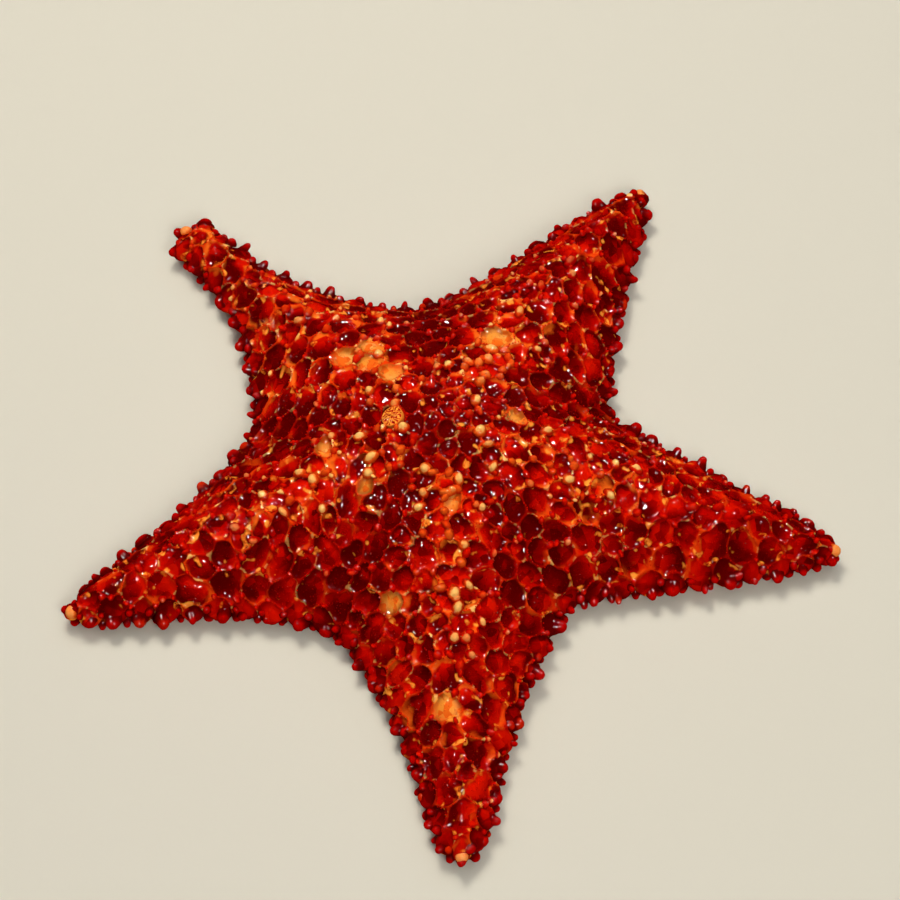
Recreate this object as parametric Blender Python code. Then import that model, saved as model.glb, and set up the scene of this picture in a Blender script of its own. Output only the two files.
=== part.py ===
"""A cushion sea star (Oreaster reticulatus) at rest on the floor, as a still, life-size model.

The star is worked out lying straight, round the disc's centre: an outline of five tapering arms, a
domed upper side that swells with the distance from the rim, and a flat underside with a furrow down
each arm. A net of nodes covers the upper side, and each node carries one blunt tubercle. The whole
body is then swept into its pose and parted with thin cuts into the disc and the five arms.

Frame: +Z up, the floor at z = 0, the origin under the middle of the footprint.
"""

import math

import bmesh
import bpy
import numpy as np
from mathutils import Matrix, Vector
from mathutils.geometry import delaunay_2d_cdt

# Driving dimensions, in metres and degrees.

DISC_AT = (-0.0036, 0.0120)  # the disc's centre, from the middle of the footprint
STATIONS = (0.060, 0.085, 0.110)  # distances from the disc's centre where an arm's half-width is given
# Each arm: azimuth, reach, half-widths at the three stations, sideways sweep of its tip.
ARMS = {
    "far_left": (132.3, 0.1225, (0.0255, 0.0121, 0.0086), 0.0022),
    "far_right": (59.0, 0.1225, (0.0285, 0.0180, 0.0092), -0.0035),
    "right": (-12.4, 0.1270, (0.0280, 0.0195, 0.0110), 0.0020),
    "near": (-86.0, 0.1260, (0.0290, 0.0178, 0.0110), -0.0020),
    "left": (201.0, 0.1240, (0.0290, 0.0172, 0.0092), 0.0020),
}
TIP_SQUARENESS = 20  # how late an arm's sides turn in to its rounded tip
NOTCH_SHARPNESS = 20  # how tightly the sides of two arms meet
SWEEP_FROM = 0.052  # distance from the disc's centre where an arm starts to sweep sideways

DISC_HEIGHT = 0.0475  # top of the disc, without its tubercles
RIM_HEIGHT = 0.0055  # height of the rim, where the star is widest
SWELL = 0.75  # the height grows as this power of the distance from the rim
FURROW_DEPTH = 0.0028  # of the valley between two arms, on top
FURROW_WIDTH = 0.0060
FURROW_START = 0.0200  # distance from the disc's centre where the valleys have their full depth

RIM_PLATES = 104  # marginal plates round the rim, each with one tubercle
RIM_TUBERCLE = 0.0024  # how far a marginal tubercle stands out of the rim
NET_SPACING = 0.0078  # between neighbouring tubercles
LATTICE_PITCH = 0.88 * NET_SPACING  # of the plain lattice that the net starts from
EVEN_SPACING = 1.12 * NET_SPACING  # nodes push each other away until they are this far apart
PUSH_SHARE = 0.22  # share of the missing distance that one step makes up
PUSH_STEPS = 30
RIM_MARGIN = 0.60 * NET_SPACING  # kept free of the net along the rim
CARINAL_SPACING = 0.98 * NET_SPACING
CARINAL_END = 0.0050  # from an arm's tip to the last tubercle of its ridge
CARINAL_EXTRA = 0.45  # the tubercles of that row are larger by this share
TUBERCLE_RADIUS = 0.0019
TUBERCLE_HEIGHT = 0.0024
TUBERCLE_SIDES = 6
FULL_SIZE_FROM = 0.0140  # tubercles nearer to the rim than this are smaller
SMALLEST_SHARE = 0.62

UNDERCUT = 0.0026  # the underside meets the floor this far inside the rim
GROOVE_HALF_WIDTH = 0.0032  # of the ambulacral groove, at the mouth
GROOVE_DEPTH = 0.0048
GROOVE_NARROWING = 0.45  # share of the width and depth that a groove loses on its way out
GROOVE_STEP = 0.0085
GROOVE_INTO_MOUTH = 0.0020  # how far each groove runs on inside the mouth's edge
GROOVE_PAST_EYESPOT = 0.0020
GROOVE_END = 0.0010  # length of the slope that closes a groove at each end

CUT_AT = 0.0530  # distance of each cut between disc and arm from the disc's centre
GAP = 0.0003  # left between two pieces that meet

MADREPORITE_AT = (166.0, 0.0150)  # azimuth, and distance from the disc's centre
MADREPORITE_RADIUS = 0.0034
MADREPORITE_SINK = 0.0022
MADREPORITE_RISE = 0.0009
MADREPORITE_MARGIN = 0.0022  # kept free of tubercles round it
MADREPORITE_SIDES = 20
MOUTH_RADIUS = 0.0085
MOUTH_DEPTH = 0.0055
MOUTH_SIDES = 40
OPENING_RADIUS = 0.0060  # of the mouth's opening, where a groove comes in
JAW_TIP_RADIUS = 0.0018
JAWS_ABOVE_FLOOR = 0.0008
EYESPOT_RADIUS = 0.0006
EYESPOT_BACK = 0.0078  # from the arm's tip to its eyespot, in the end of the groove
CUTTER_EXCESS = 0.0040  # how far a cutter sticks out of what it cuts

# Colour, roughness and metallic value of each material.
FINISHES = {
    "red_body_wall": ((0.55, 0.035, 0.010), 0.42, 0.0),
    "tan_sieve_plate": ((0.72, 0.40, 0.14), 0.60, 0.0),
    "pale_jaws": ((0.78, 0.52, 0.28), 0.55, 0.0),
    "red_eyespot": ((0.70, 0.02, 0.02), 0.30, 0.0),
}

RIM_SAMPLES = 24 * RIM_PLATES
FINE_STEPS = 14401  # samples of the outline before they are spaced evenly
ARM_STEPS = 1200  # samples along one arm's side
ARM_START = 0.0040  # distance from the disc's centre where an arm's sides start
WIDEST_ANGLE = math.radians(80)  # an arm's sides count only this far off its axis
SLOPE_STEP = 0.0004  # step for measuring the upper side's slope
CENTRE = np.zeros((1, 2))
FULL_TURN = 2 * math.pi


# The outline.


def angle_between(first, second):
    """The smaller angle between directions, from 0 to pi."""
    return np.abs((first - second + math.pi) % FULL_TURN - math.pi)


def arm_half_width(reach, widths, u):
    """A parabola through the half-widths at the three stations, closed by a rounded tip at the reach."""
    t = (u - STATIONS[0]) / (STATIONS[1] - STATIONS[0])
    first = widths[1] - widths[0]
    second = widths[2] - widths[1] - first
    parabola = widths[0] + first * t + second * t * (t - 1) / 2
    return parabola * np.sqrt(np.clip(1 - (u / reach) ** TIP_SQUARENESS, 0, 1))


def rim_radius(theta):
    """Distance of the rim from the disc's centre in each direction: a soft maximum over the arms."""
    total = np.zeros_like(theta)
    for azimuth, reach, widths, _ in ARMS.values():
        u = np.linspace(reach, ARM_START, ARM_STEPS)
        w = arm_half_width(reach, widths, u)
        off_axis = angle_between(theta, math.radians(azimuth))
        radius = np.interp(off_axis, np.arctan2(w, u), np.hypot(u, w))
        total += np.where(off_axis < WIDEST_ANGLE, radius, 0) ** NOTCH_SHARPNESS
    return total ** (1 / NOTCH_SHARPNESS)


def rim_points(count):
    """Evenly spaced points of the rim, anticlockwise, starting at the near arm's tip."""
    start = math.radians(ARMS["near"][0])
    theta = start + np.linspace(0, FULL_TURN, FINE_STEPS)
    radius = rim_radius(theta)
    path = np.stack([radius * np.cos(theta), radius * np.sin(theta)], 1)
    walked = np.concatenate([[0], np.cumsum(np.linalg.norm(np.diff(path, axis=0), axis=1))])
    at = np.arange(count) / count * walked[-1]
    return np.stack([np.interp(at, walked, path[:, 0]), np.interp(at, walked, path[:, 1])], 1)


def outward(loop):
    """Unit normals of an anticlockwise closed loop of points, pointing out of it."""
    along = np.roll(loop, -1, 0) - np.roll(loop, 1, 0)
    across = np.stack([along[:, 1], -along[:, 0]], 1)
    return across / np.linalg.norm(across, axis=1)[:, None]


RIM = rim_points(RIM_SAMPLES)
RIM_STEP = np.linalg.norm(RIM[1] - RIM[0])


# The upper side.


def softened_depth(points):
    """Distance from the rim, with rounded ridges: from the sum of 1 / distance^4 over the rim."""
    squared = ((points[:, None, :] - RIM[None, :, :]) ** 2).sum(2)
    pull = (RIM_STEP / np.maximum(squared, 1e-9) ** 2).sum(1)
    return (math.pi / (2 * pull)) ** (1 / 3)


DISC_DEPTH = softened_depth(CENTRE)[0]


def valley_azimuths():
    """For each arm in turn, anticlockwise: the azimuths in radians of the valleys on its two sides."""
    axes = sorted((math.radians(arm[0]) % FULL_TURN, name) for name, arm in ARMS.items())
    turns = [axes[-1][0] - FULL_TURN, *(a for a, _ in axes), axes[0][0] + FULL_TURN]
    return {
        name: ((turns[i] + a) / 2, (a + turns[i + 2]) / 2) for i, (a, name) in enumerate(axes)
    }


def off_valley(points):
    """How far each point lies sideways from the nearest line between two arms."""
    radius = np.hypot(points[:, 0], points[:, 1])
    angle = np.arctan2(points[:, 1], points[:, 0])
    found = np.full(len(points), np.inf)
    for _, valley in valley_azimuths().values():
        off = np.minimum(angle_between(angle, valley), math.pi / 2)
        found = np.minimum(found, radius * np.sin(off))
    return found


def top_height(points):
    """Height of the upper side: it swells as a power of the depth, less the valleys between the arms."""
    swell = np.clip(softened_depth(points) / DISC_DEPTH, 0, 1.2) ** SWELL
    radius = np.hypot(points[:, 0], points[:, 1])
    window = np.clip(radius / FURROW_START, 0, 1) ** 2 * np.clip(swell, 0, 1)
    valley = FURROW_DEPTH * window * np.exp(-((off_valley(points) / FURROW_WIDTH) ** 2))
    return RIM_HEIGHT + (DISC_HEIGHT - RIM_HEIGHT) * swell - valley


def top_normals(points):
    """Unit normals of the upper side, from small steps in x and y."""
    in_x, in_y = (SLOPE_STEP, 0), (0, SLOPE_STEP)
    rise_x = top_height(points + in_x) - top_height(points - in_x)
    rise_y = top_height(points + in_y) - top_height(points - in_y)
    slope = np.stack([-rise_x, -rise_y, np.full(len(points), 2 * SLOPE_STEP)], 1)
    return slope / np.linalg.norm(slope, axis=1)[:, None]


# The net of tubercles.


def arm_axes(azimuth):
    """Unit vectors along an arm and to its left."""
    a = math.radians(azimuth)
    return np.array([math.cos(a), math.sin(a)]), np.array([-math.sin(a), math.cos(a)])


def carinal_nodes():
    """The row of nodes along the ridge of every arm, and the node at the disc's centre."""
    rows = [CENTRE]
    for azimuth, reach, _, _ in ARMS.values():
        last = reach - CARINAL_END
        u = np.linspace(NET_SPACING, last, round(last / CARINAL_SPACING))
        rows.append(u[:, None] * arm_axes(azimuth)[0])
    return np.concatenate(rows)


def nearest(points, others):
    """Distance from each point to the nearest of the others."""
    return np.sqrt(((points[:, None, :] - others[None, :, :]) ** 2).sum(2).min(1))


def madreporite_centre():
    azimuth, distance = MADREPORITE_AT
    return distance * arm_axes(azimuth)[0][None, :]


def plain_lattice():
    """A triangular lattice over the star, clear of the rim, the ridge rows and the madreporite."""
    most = math.ceil(max(arm[1] for arm in ARMS.values()) / (LATTICE_PITCH * math.sqrt(3) / 2))
    i, j = np.meshgrid(np.arange(-most, most + 1), np.arange(-most, most + 1), indexing="ij")
    lattice = np.stack([i + 0.5 * (j % 2), j * math.sqrt(3) / 2], -1).reshape(-1, 2) * LATTICE_PITCH
    lattice = lattice[np.hypot(*lattice.T) < rim_radius(np.arctan2(lattice[:, 1], lattice[:, 0]))]
    lattice = lattice[nearest(lattice, RIM) > RIM_MARGIN]
    lattice = lattice[nearest(lattice, carinal_nodes()) > 0.62 * LATTICE_PITCH]
    return lattice[nearest(lattice, madreporite_centre()) > MADREPORITE_RADIUS + MADREPORITE_MARGIN]


def net_nodes():
    """(nodes in plan, how many of them are carinal). A triangular lattice that is pushed even.

    Each step pushes a node away from every neighbour that is nearer over the surface than the
    spacing. The carinal rows, the madreporite and the marginal plates stay where they are.
    """
    fixed = carinal_nodes()
    walls = np.concatenate([fixed, RIM[:: RIM_SAMPLES // RIM_PLATES], madreporite_centre()])
    lattice = plain_lattice()
    for _ in range(PUSH_STEPS):
        everyone = np.concatenate([lattice, walls])
        solid = np.concatenate([everyone, top_height(everyone)[:, None]], 1)
        apart = solid[: len(lattice), None, :] - solid[None, :, :]
        distance = np.linalg.norm(apart, axis=2)
        distance[distance == 0] = np.inf
        push = np.clip(EVEN_SPACING - distance, 0, None) / distance
        lattice = lattice + PUSH_SHARE * (apart[:, :, :2] * push[:, :, None]).sum(1)
    return np.concatenate([fixed, lattice]), len(fixed)


# Meshes.


def triangulated(points, loops, rings=()):
    """Triangles that fill the outer loop, as index triples, with each ring's edges kept."""
    edges = [
        (a, b)
        for loop in [*loops, *rings]
        for a, b in zip(loop, [*loop[1:], loop[0]])
    ]
    flat = [Vector(p) for p in points]
    _, _, faces, kept, _, _ = delaunay_2d_cdt(flat, edges, [], 1, 1e-7)
    return [[kept[i][0] for i in face] for face in faces]


def rim_nodes():
    """The rim's own nodes: each marginal plate's tubercle, and the joint between two plates."""
    picked = np.arange(0, RIM_SAMPLES, RIM_SAMPLES // (2 * RIM_PLATES))
    stand_out = np.where(np.arange(len(picked)) % 2 == 0, RIM_TUBERCLE, 0)
    return RIM[picked] + outward(RIM)[picked] * stand_out[:, None], picked


def upper_side():
    """(vertices, faces) of the upper side: the rim's nodes first, then each node's ring and tip."""
    rim, _ = rim_nodes()
    nodes, carinal_count = net_nodes()
    size = np.clip(nearest(nodes, RIM) / FULL_SIZE_FROM, SMALLEST_SHARE, 1)
    size = size * np.where(np.arange(len(nodes)) < carinal_count, 1 + CARINAL_EXTRA, 1)
    turn = np.arange(TUBERCLE_SIDES) * FULL_TURN / TUBERCLE_SIDES
    circle = np.stack([np.cos(turn), np.sin(turn)], 1)
    rings = nodes[:, None, :] + circle[None, :, :] * (size * TUBERCLE_RADIUS)[:, None, None]
    rings = rings.reshape(-1, 2)
    plan = np.concatenate([rim, rings, nodes])
    first_ring = len(rim)
    ring_loops = [
        list(range(start, start + TUBERCLE_SIDES))
        for start in range(first_ring, first_ring + len(rings), TUBERCLE_SIDES)
    ]
    faces = triangulated(plan, [list(range(len(rim)))], ring_loops)
    rim_solid = np.concatenate([rim, np.full((len(rim), 1), RIM_HEIGHT)], 1)
    ring_solid = np.concatenate([rings, top_height(rings)[:, None]], 1)
    foot = np.concatenate([nodes, top_height(nodes)[:, None]], 1)
    tips = foot + top_normals(nodes) * (size * TUBERCLE_HEIGHT)[:, None]
    return np.concatenate([rim_solid, ring_solid, tips]), faces


def groove_lines():
    """For each arm, the stations of its groove and the groove's half-width and depth there."""
    for azimuth, reach, _, _ in ARMS.values():
        start, end = MOUTH_RADIUS - GROOVE_INTO_MOUTH, reach - EYESPOT_BACK + GROOVE_PAST_EYESPOT
        u = np.linspace(start, end, round((end - start) / GROOVE_STEP) + 1)
        narrowing = 1 - GROOVE_NARROWING * (u / reach) ** 2
        yield azimuth, u, GROOVE_HALF_WIDTH * narrowing, GROOVE_DEPTH * narrowing


def under_side():
    """(vertices, faces) of the flat underside with its grooves, the rim's nodes first."""
    rim, picked = rim_nodes()
    floor_edge = RIM[picked] - outward(RIM)[picked] * UNDERCUT
    points = [np.concatenate([rim, np.full((len(rim), 1), RIM_HEIGHT)], 1)]
    points.append(np.concatenate([floor_edge, np.zeros((len(floor_edge), 1))], 1))
    total = len(rim) + len(floor_edge)
    rings = [list(range(len(rim), total))]
    for azimuth, u, half_width, depth in groove_lines():
        along, left = arm_axes(azimuth)
        axis = u[:, None] * along
        right_edge, left_edge = axis - half_width[:, None] * left, axis + half_width[:, None] * left
        flat = np.zeros((len(u), 1))
        keel = np.clip(u, u[0] + GROOVE_END, u[-1] - GROOVE_END)[:, None] * along
        points.append(np.concatenate([right_edge, flat], 1))
        points.append(np.concatenate([left_edge, flat], 1)[::-1])
        points.append(np.concatenate([keel, depth[:, None]], 1))
        rings.append(list(range(total, total + 2 * len(u))))
        total += 3 * len(u)
    points = np.concatenate(points)
    faces = triangulated(points[:, :2], [list(range(len(rim)))], rings)
    return points, [face[::-1] for face in faces]


def swept(points):
    """The straight star's points in their pose: each arm sweeps sideways as a parabola of its length."""
    plan = points[:, :2]
    moved = points.copy()
    angle = np.arctan2(plan[:, 1], plan[:, 0])
    names = list(ARMS)
    azimuths = np.radians([ARMS[name][0] for name in names])
    sector = angle_between(angle[:, None], azimuths[None, :]).argmin(1)
    for k, name in enumerate(names):
        azimuth, reach, _, sweep = ARMS[name]
        along, left = arm_axes(azimuth)
        share = np.clip((plan @ along - SWEEP_FROM) / (reach - SWEEP_FROM), 0, None)
        here = np.where(sector == k, sweep * share**2, 0)
        moved[:, :2] += here[:, None] * left
    moved[:, :2] += DISC_AT
    return moved


def whole_star():
    """A closed bmesh of the whole body in its pose."""
    upper, upper_faces = upper_side()
    under, under_faces = under_side()
    shift = len(upper)
    shared = 2 * RIM_PLATES  # the rim's nodes come first in both
    renumber = [i if i < shared else i - shared + shift for i in range(len(under))]
    points = swept(np.concatenate([upper, under[shared:]]))
    star = bmesh.new()
    corners = [star.verts.new(p) for p in points]
    for face in upper_faces + [[renumber[i] for i in face] for face in under_faces]:
        star.faces.new([corners[i] for i in face])
    bmesh.ops.recalc_face_normals(star, faces=star.faces)
    return star


def parted(star, cuts):
    """A copy of the star, cut by each (point, normal) plane, keeping the side behind the normal."""
    piece = star.copy()
    for point, normal in cuts:
        geometry = [*piece.verts, *piece.edges, *piece.faces]
        cut = bmesh.ops.bisect_plane(
            piece, geom=geometry, dist=1e-7, plane_co=point, plane_no=normal, clear_outer=True
        )
        edges = [e for e in cut["geom_cut"] if isinstance(e, bmesh.types.BMEdge)]
        bmesh.ops.edgenet_fill(piece, edges=edges)
    bmesh.ops.recalc_face_normals(piece, faces=piece.faces)
    return piece


def end_cut(azimuth, keep_arm):
    """The plane between the disc and an arm, moved off by half a gap, to keep one side of it."""
    along, _ = arm_axes(azimuth)
    distance = CUT_AT + (GAP / 2 if keep_arm else -GAP / 2)
    point = Vector((*(along * distance + DISC_AT), 0))
    normal = Vector((*along, 0))
    return point, -normal if keep_arm else normal


def side_cuts(name):
    """Upright planes through the valleys beside an arm, which leave its neighbours off."""
    right, left = valley_azimuths()[name]
    centre = Vector((*DISC_AT, 0))
    return [
        (centre, Vector((math.sin(right), -math.cos(right), 0))),
        (centre, Vector((-math.sin(left), math.cos(left), 0))),
    ]


# Objects.


def material(name):
    """A Principled material from the table of finishes, made once."""
    if name in bpy.data.materials:
        return bpy.data.materials[name]
    colour, roughness, metallic = FINISHES[name]
    made = bpy.data.materials.new(name)
    made.use_nodes = True
    shader = made.node_tree.nodes["Principled BSDF"]
    shader.inputs["Base Color"].default_value = (*colour, 1)
    shader.inputs["Roughness"].default_value = roughness
    shader.inputs["Metallic"].default_value = metallic
    return made


def linked(name, bm, finish):
    """Makes a scene object from a bmesh, which it frees."""
    mesh = bpy.data.meshes.new(name)
    bm.to_mesh(mesh)
    bm.free()
    mesh.materials.append(material(finish))
    obj = bpy.data.objects.new(name, mesh)
    bpy.context.scene.collection.objects.link(obj)
    return obj


def subtract(obj, cutter):
    """Cuts a hidden helper out of an object."""
    cutter.hide_render = True
    cutter.display_type = "WIRE"
    cut = obj.modifiers.new("cut_" + cutter.name, "BOOLEAN")
    cut.operation = "DIFFERENCE"
    cut.solver = "EXACT"
    cut.object = cutter


def turned(profile, sides):
    """A closed bmesh turned about Z from (radius, height) points, which start and end on the axis."""
    bm = bmesh.new()
    path = [bm.verts.new((r, 0, z)) for r, z in profile]
    edges = [bm.edges.new(pair) for pair in zip(path, path[1:])]
    bmesh.ops.spin(
        bm, geom=path + edges, cent=(0, 0, 0), axis=(0, 0, 1), angle=FULL_TURN, steps=sides
    )
    bmesh.ops.remove_doubles(bm, verts=bm.verts, dist=1e-6)
    bmesh.ops.recalc_face_normals(bm, faces=bm.faces)
    return bm


def madreporite_frame():
    """Where the sieve plate sits: its place on the upper side, with Z along the surface normal."""
    plan = madreporite_centre()
    place = Vector((*(plan[0] + DISC_AT), top_height(plan)[0]))
    turn = Vector(top_normals(plan)[0]).to_track_quat("Z", "X")
    return Matrix.Translation(place) @ turn.to_matrix().to_4x4()


def pit(radius, bottom, top, sides):
    """A plain upright cylinder for cutting a round pit."""
    return turned([(0, bottom), (radius, bottom), (radius, top), (0, top)], sides)


def make_madreporite(disc):
    """The sieve plate: a low domed button, sunk into a seat in the disc."""
    frame = madreporite_frame()
    seat_radius, seat_bottom = MADREPORITE_RADIUS + GAP, -MADREPORITE_SINK - GAP
    seat = pit(seat_radius, seat_bottom, CUTTER_EXCESS, MADREPORITE_SIDES)
    cutter = linked("madreporite_seat", seat, "tan_sieve_plate")
    cutter.matrix_world = frame
    subtract(disc, cutter)
    arc = np.linspace(0, math.pi / 2, 5)[:-1]
    dome = [(MADREPORITE_RADIUS * math.cos(a), MADREPORITE_RISE * math.sin(a)) for a in arc]
    profile = [(0, -MADREPORITE_SINK), (MADREPORITE_RADIUS, -MADREPORITE_SINK), *dome]
    button = turned([*profile, (0, MADREPORITE_RISE)], MADREPORITE_SIDES)
    linked("madreporite", button, "tan_sieve_plate").matrix_world = frame


def opening_radius(angles):
    """Radius of the mouth's opening in each direction: least at a jaw, most where a groove comes in."""
    corners = [(left % FULL_TURN, JAW_TIP_RADIUS) for _, left in valley_azimuths().values()]
    corners += [(math.radians(arm[0]) % FULL_TURN, OPENING_RADIUS) for arm in ARMS.values()]
    at, radius = np.array(sorted(corners)).T
    return np.interp(angles, at, radius, period=FULL_TURN)


def make_mouth(disc):
    """The mouth: a round pit in the underside, and in it a frame of five jaws that point inwards."""
    cutter = linked(
        "mouth_pit", pit(MOUTH_RADIUS, -CUTTER_EXCESS, MOUTH_DEPTH, MOUTH_SIDES), "pale_jaws"
    )
    cutter.location = (*DISC_AT, 0)
    subtract(disc, cutter)
    angles = np.arange(MOUTH_SIDES) * FULL_TURN / MOUTH_SIDES
    circle = np.stack([np.cos(angles), np.sin(angles)], 1)
    outer = circle * (MOUTH_RADIUS - GAP)
    inner = circle * opening_radius(angles)[:, None]
    low, high = JAWS_ABOVE_FLOOR, MOUTH_DEPTH - GAP
    frame = bmesh.new()
    loops = []
    for plan, height in ((outer, low), (outer, high), (inner, high), (inner, low)):
        loops.append([frame.verts.new((*p, height)) for p in plan])
    for loop, after in zip(loops, [*loops[1:], loops[0]]):
        for i in range(MOUTH_SIDES):
            frame.faces.new([loop[i - 1], loop[i], after[i], after[i - 1]])
    bmesh.ops.recalc_face_normals(frame, faces=frame.faces)
    linked("mouth_frame", frame, "pale_jaws").location = (*DISC_AT, 0)


def make_eyespot(name, azimuth, reach):
    """The eyespot, a small cushion in the end of an arm's groove, under the tip."""
    along, _ = arm_axes(azimuth)
    bm = bmesh.new()
    bmesh.ops.create_icosphere(bm, subdivisions=2, radius=EYESPOT_RADIUS)
    spot = linked("eyespot_" + name, bm, "red_eyespot")
    centre = [*(along * (reach - EYESPOT_BACK)), EYESPOT_RADIUS + GAP]
    spot.location = swept(np.array([centre]))[0]


def clear_scene():
    for obj in list(bpy.data.objects):
        bpy.data.objects.remove(obj)


def main():
    clear_scene()
    star = whole_star()
    middle = parted(star, [end_cut(arm[0], keep_arm=False) for arm in ARMS.values()])
    disc = linked("disc", middle, "red_body_wall")
    for name, (azimuth, reach, _, _) in ARMS.items():
        arm = parted(star, [end_cut(azimuth, keep_arm=True), *side_cuts(name)])
        linked("arm_" + name, arm, "red_body_wall")
        make_eyespot(name, azimuth, reach)
    star.free()
    make_madreporite(disc)
    make_mouth(disc)


main()
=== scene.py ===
# %% [markdown]
# # A red cushion sea star, still and life size
#
# A cushion sea star is a bag of limy plates under a thin wet skin. On top the plates form a net of
# ridges, about half of the crossings carry a blunt tubercle, and soft red skin bulges in the meshes.
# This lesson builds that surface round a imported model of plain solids, which fixes every size and place.

# %% Load the fixed frame
import math

import bpy
import numpy as np
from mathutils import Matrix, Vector
from mathutils.geometry import delaunay_2d_cdt


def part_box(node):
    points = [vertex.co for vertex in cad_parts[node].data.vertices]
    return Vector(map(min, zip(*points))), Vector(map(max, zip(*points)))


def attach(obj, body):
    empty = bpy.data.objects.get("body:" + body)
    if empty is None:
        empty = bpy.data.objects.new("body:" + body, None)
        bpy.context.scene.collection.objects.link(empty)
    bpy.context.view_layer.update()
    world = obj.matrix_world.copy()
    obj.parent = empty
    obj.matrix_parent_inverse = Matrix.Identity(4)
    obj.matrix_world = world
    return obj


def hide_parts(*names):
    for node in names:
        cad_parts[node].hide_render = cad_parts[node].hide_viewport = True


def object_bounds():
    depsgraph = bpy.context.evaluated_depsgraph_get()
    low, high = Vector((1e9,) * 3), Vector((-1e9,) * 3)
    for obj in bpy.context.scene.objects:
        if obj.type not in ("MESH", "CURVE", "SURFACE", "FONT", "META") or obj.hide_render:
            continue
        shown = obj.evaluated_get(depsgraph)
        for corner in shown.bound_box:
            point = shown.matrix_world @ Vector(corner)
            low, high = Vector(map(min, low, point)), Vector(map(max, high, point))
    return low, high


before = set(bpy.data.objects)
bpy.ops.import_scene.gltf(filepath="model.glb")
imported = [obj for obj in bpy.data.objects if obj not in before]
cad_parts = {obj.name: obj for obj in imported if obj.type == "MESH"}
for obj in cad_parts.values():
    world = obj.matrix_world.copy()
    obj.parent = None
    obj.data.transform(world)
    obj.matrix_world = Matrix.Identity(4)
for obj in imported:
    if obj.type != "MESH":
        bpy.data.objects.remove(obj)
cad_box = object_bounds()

print("the packed model spans", [round(1000 * (b - a)) for a, b in zip(*cad_box)], "mm")

# %% [markdown]
# ## The outline
#
# The solids come from a few formulas, and the fine surface has to lie on the same ones. They are
# repeated here: five tapering arms, each given by its azimuth, its reach and three half-widths. The
# star is worked out lying straight round its disc's centre, and swept into its pose at the end. A
# traced outline would fit as well, but nobody could widen an arm in it by changing one number.

# %% The arms
DISC_AT = (-0.0036, 0.0120)  # the disc's centre, from the middle of the footprint
STATIONS = (0.060, 0.085, 0.110)  # distances from the disc's centre where an arm's half-width is given
ARMS = {  # azimuth, reach, half-widths at the stations, sideways sweep of the tip
    "far_left": (132.3, 0.1225, (0.0255, 0.0121, 0.0086), 0.0022),
    "far_right": (59.0, 0.1225, (0.0285, 0.0180, 0.0092), -0.0035),
    "right": (-12.4, 0.1270, (0.0280, 0.0195, 0.0110), 0.0020),
    "near": (-86.0, 0.1260, (0.0290, 0.0178, 0.0110), -0.0020),
    "left": (201.0, 0.1240, (0.0290, 0.0172, 0.0092), 0.0020),
}
TIP_SQUARENESS = 20
SWEEP_FROM = 0.052  # the sideways sweep begins this far out
FULL_TURN = 2 * math.pi
CENTRE = np.zeros((1, 2))
TINY = 1e-9  # keeps a divisor from being zero


def turns(count):
    """This many angles, evenly round a full turn."""
    return np.arange(count) * FULL_TURN / count


def compass(angles):
    """(cos, sin) of each angle: points on a circle of radius 1."""
    return np.stack([np.cos(angles), np.sin(angles)], -1)


def angle_between(first, second):
    """The smaller angle between directions, from 0 to pi."""
    return np.abs((first - second + math.pi) % FULL_TURN - math.pi)


def arm_half_width(reach, widths, u):
    """A parabola through the half-widths at the stations, times sqrt(1 - (u / reach)^squareness)."""
    t = (u - STATIONS[0]) / (STATIONS[1] - STATIONS[0])
    first = widths[1] - widths[0]
    second = widths[2] - widths[1] - first
    parabola = widths[0] + first * t + second * t * (t - 1) / 2
    return parabola * np.sqrt(np.clip(1 - (u / reach) ** TIP_SQUARENESS, 0, 1))


print(len(ARMS), "arms, the longest", round(1000 * max(arm[1] for arm in ARMS.values())), "mm")

# %% The rim
ARM_ROOT = 0.004  # an arm's outline is worked out from here to its tip
ARM_SAMPLES = 1200
ARM_SPREAD = math.radians(80)  # an arm reaches no direction further off its axis than this
NOTCH_SHARPNESS = 20
RIM_PLATES = 104  # marginal plates round the rim
RIM_NODES = 2 * RIM_PLATES  # each plate's middle, and the joint to the next one
RIM_FINENESS = 10  # samples of the rim from one node to the next
RIM_SAMPLES = RIM_NODES * RIM_FINENESS
RIM_DIRECTIONS = 14401  # directions in which the rim is worked out before it is spaced evenly


def rim_radius(theta):
    """Distance of the rim in each direction: (sum over the arms of radius^sharpness)^(1 / sharpness)."""
    total = np.zeros_like(theta)
    for azimuth, reach, widths, _ in ARMS.values():
        u = np.linspace(reach, ARM_ROOT, ARM_SAMPLES)
        w = arm_half_width(reach, widths, u)
        off_axis = angle_between(theta, math.radians(azimuth))
        radius = np.interp(off_axis, np.arctan2(w, u), np.hypot(u, w))
        total += np.where(off_axis < ARM_SPREAD, radius, 0) ** NOTCH_SHARPNESS
    return total ** (1 / NOTCH_SHARPNESS)


def rim_points(count):
    """Evenly spaced points of the rim, anticlockwise, starting at the near arm's tip."""
    theta = math.radians(ARMS["near"][0]) + np.linspace(0, FULL_TURN, RIM_DIRECTIONS)
    path = rim_radius(theta)[:, None] * compass(theta)
    walked = np.concatenate([[0], np.cumsum(np.linalg.norm(np.diff(path, axis=0), axis=1))])
    at = np.arange(count) / count * walked[-1]
    return np.stack([np.interp(at, walked, path[:, 0]), np.interp(at, walked, path[:, 1])], 1)


def outward(loop):
    """Unit normals of an anticlockwise loop: its chords, turned by a quarter clockwise."""
    along = np.roll(loop, -1, 0) - np.roll(loop, 1, 0)
    across = np.stack([along[:, 1], -along[:, 0]], 1)
    return across / np.linalg.norm(across, axis=1)[:, None]


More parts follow.
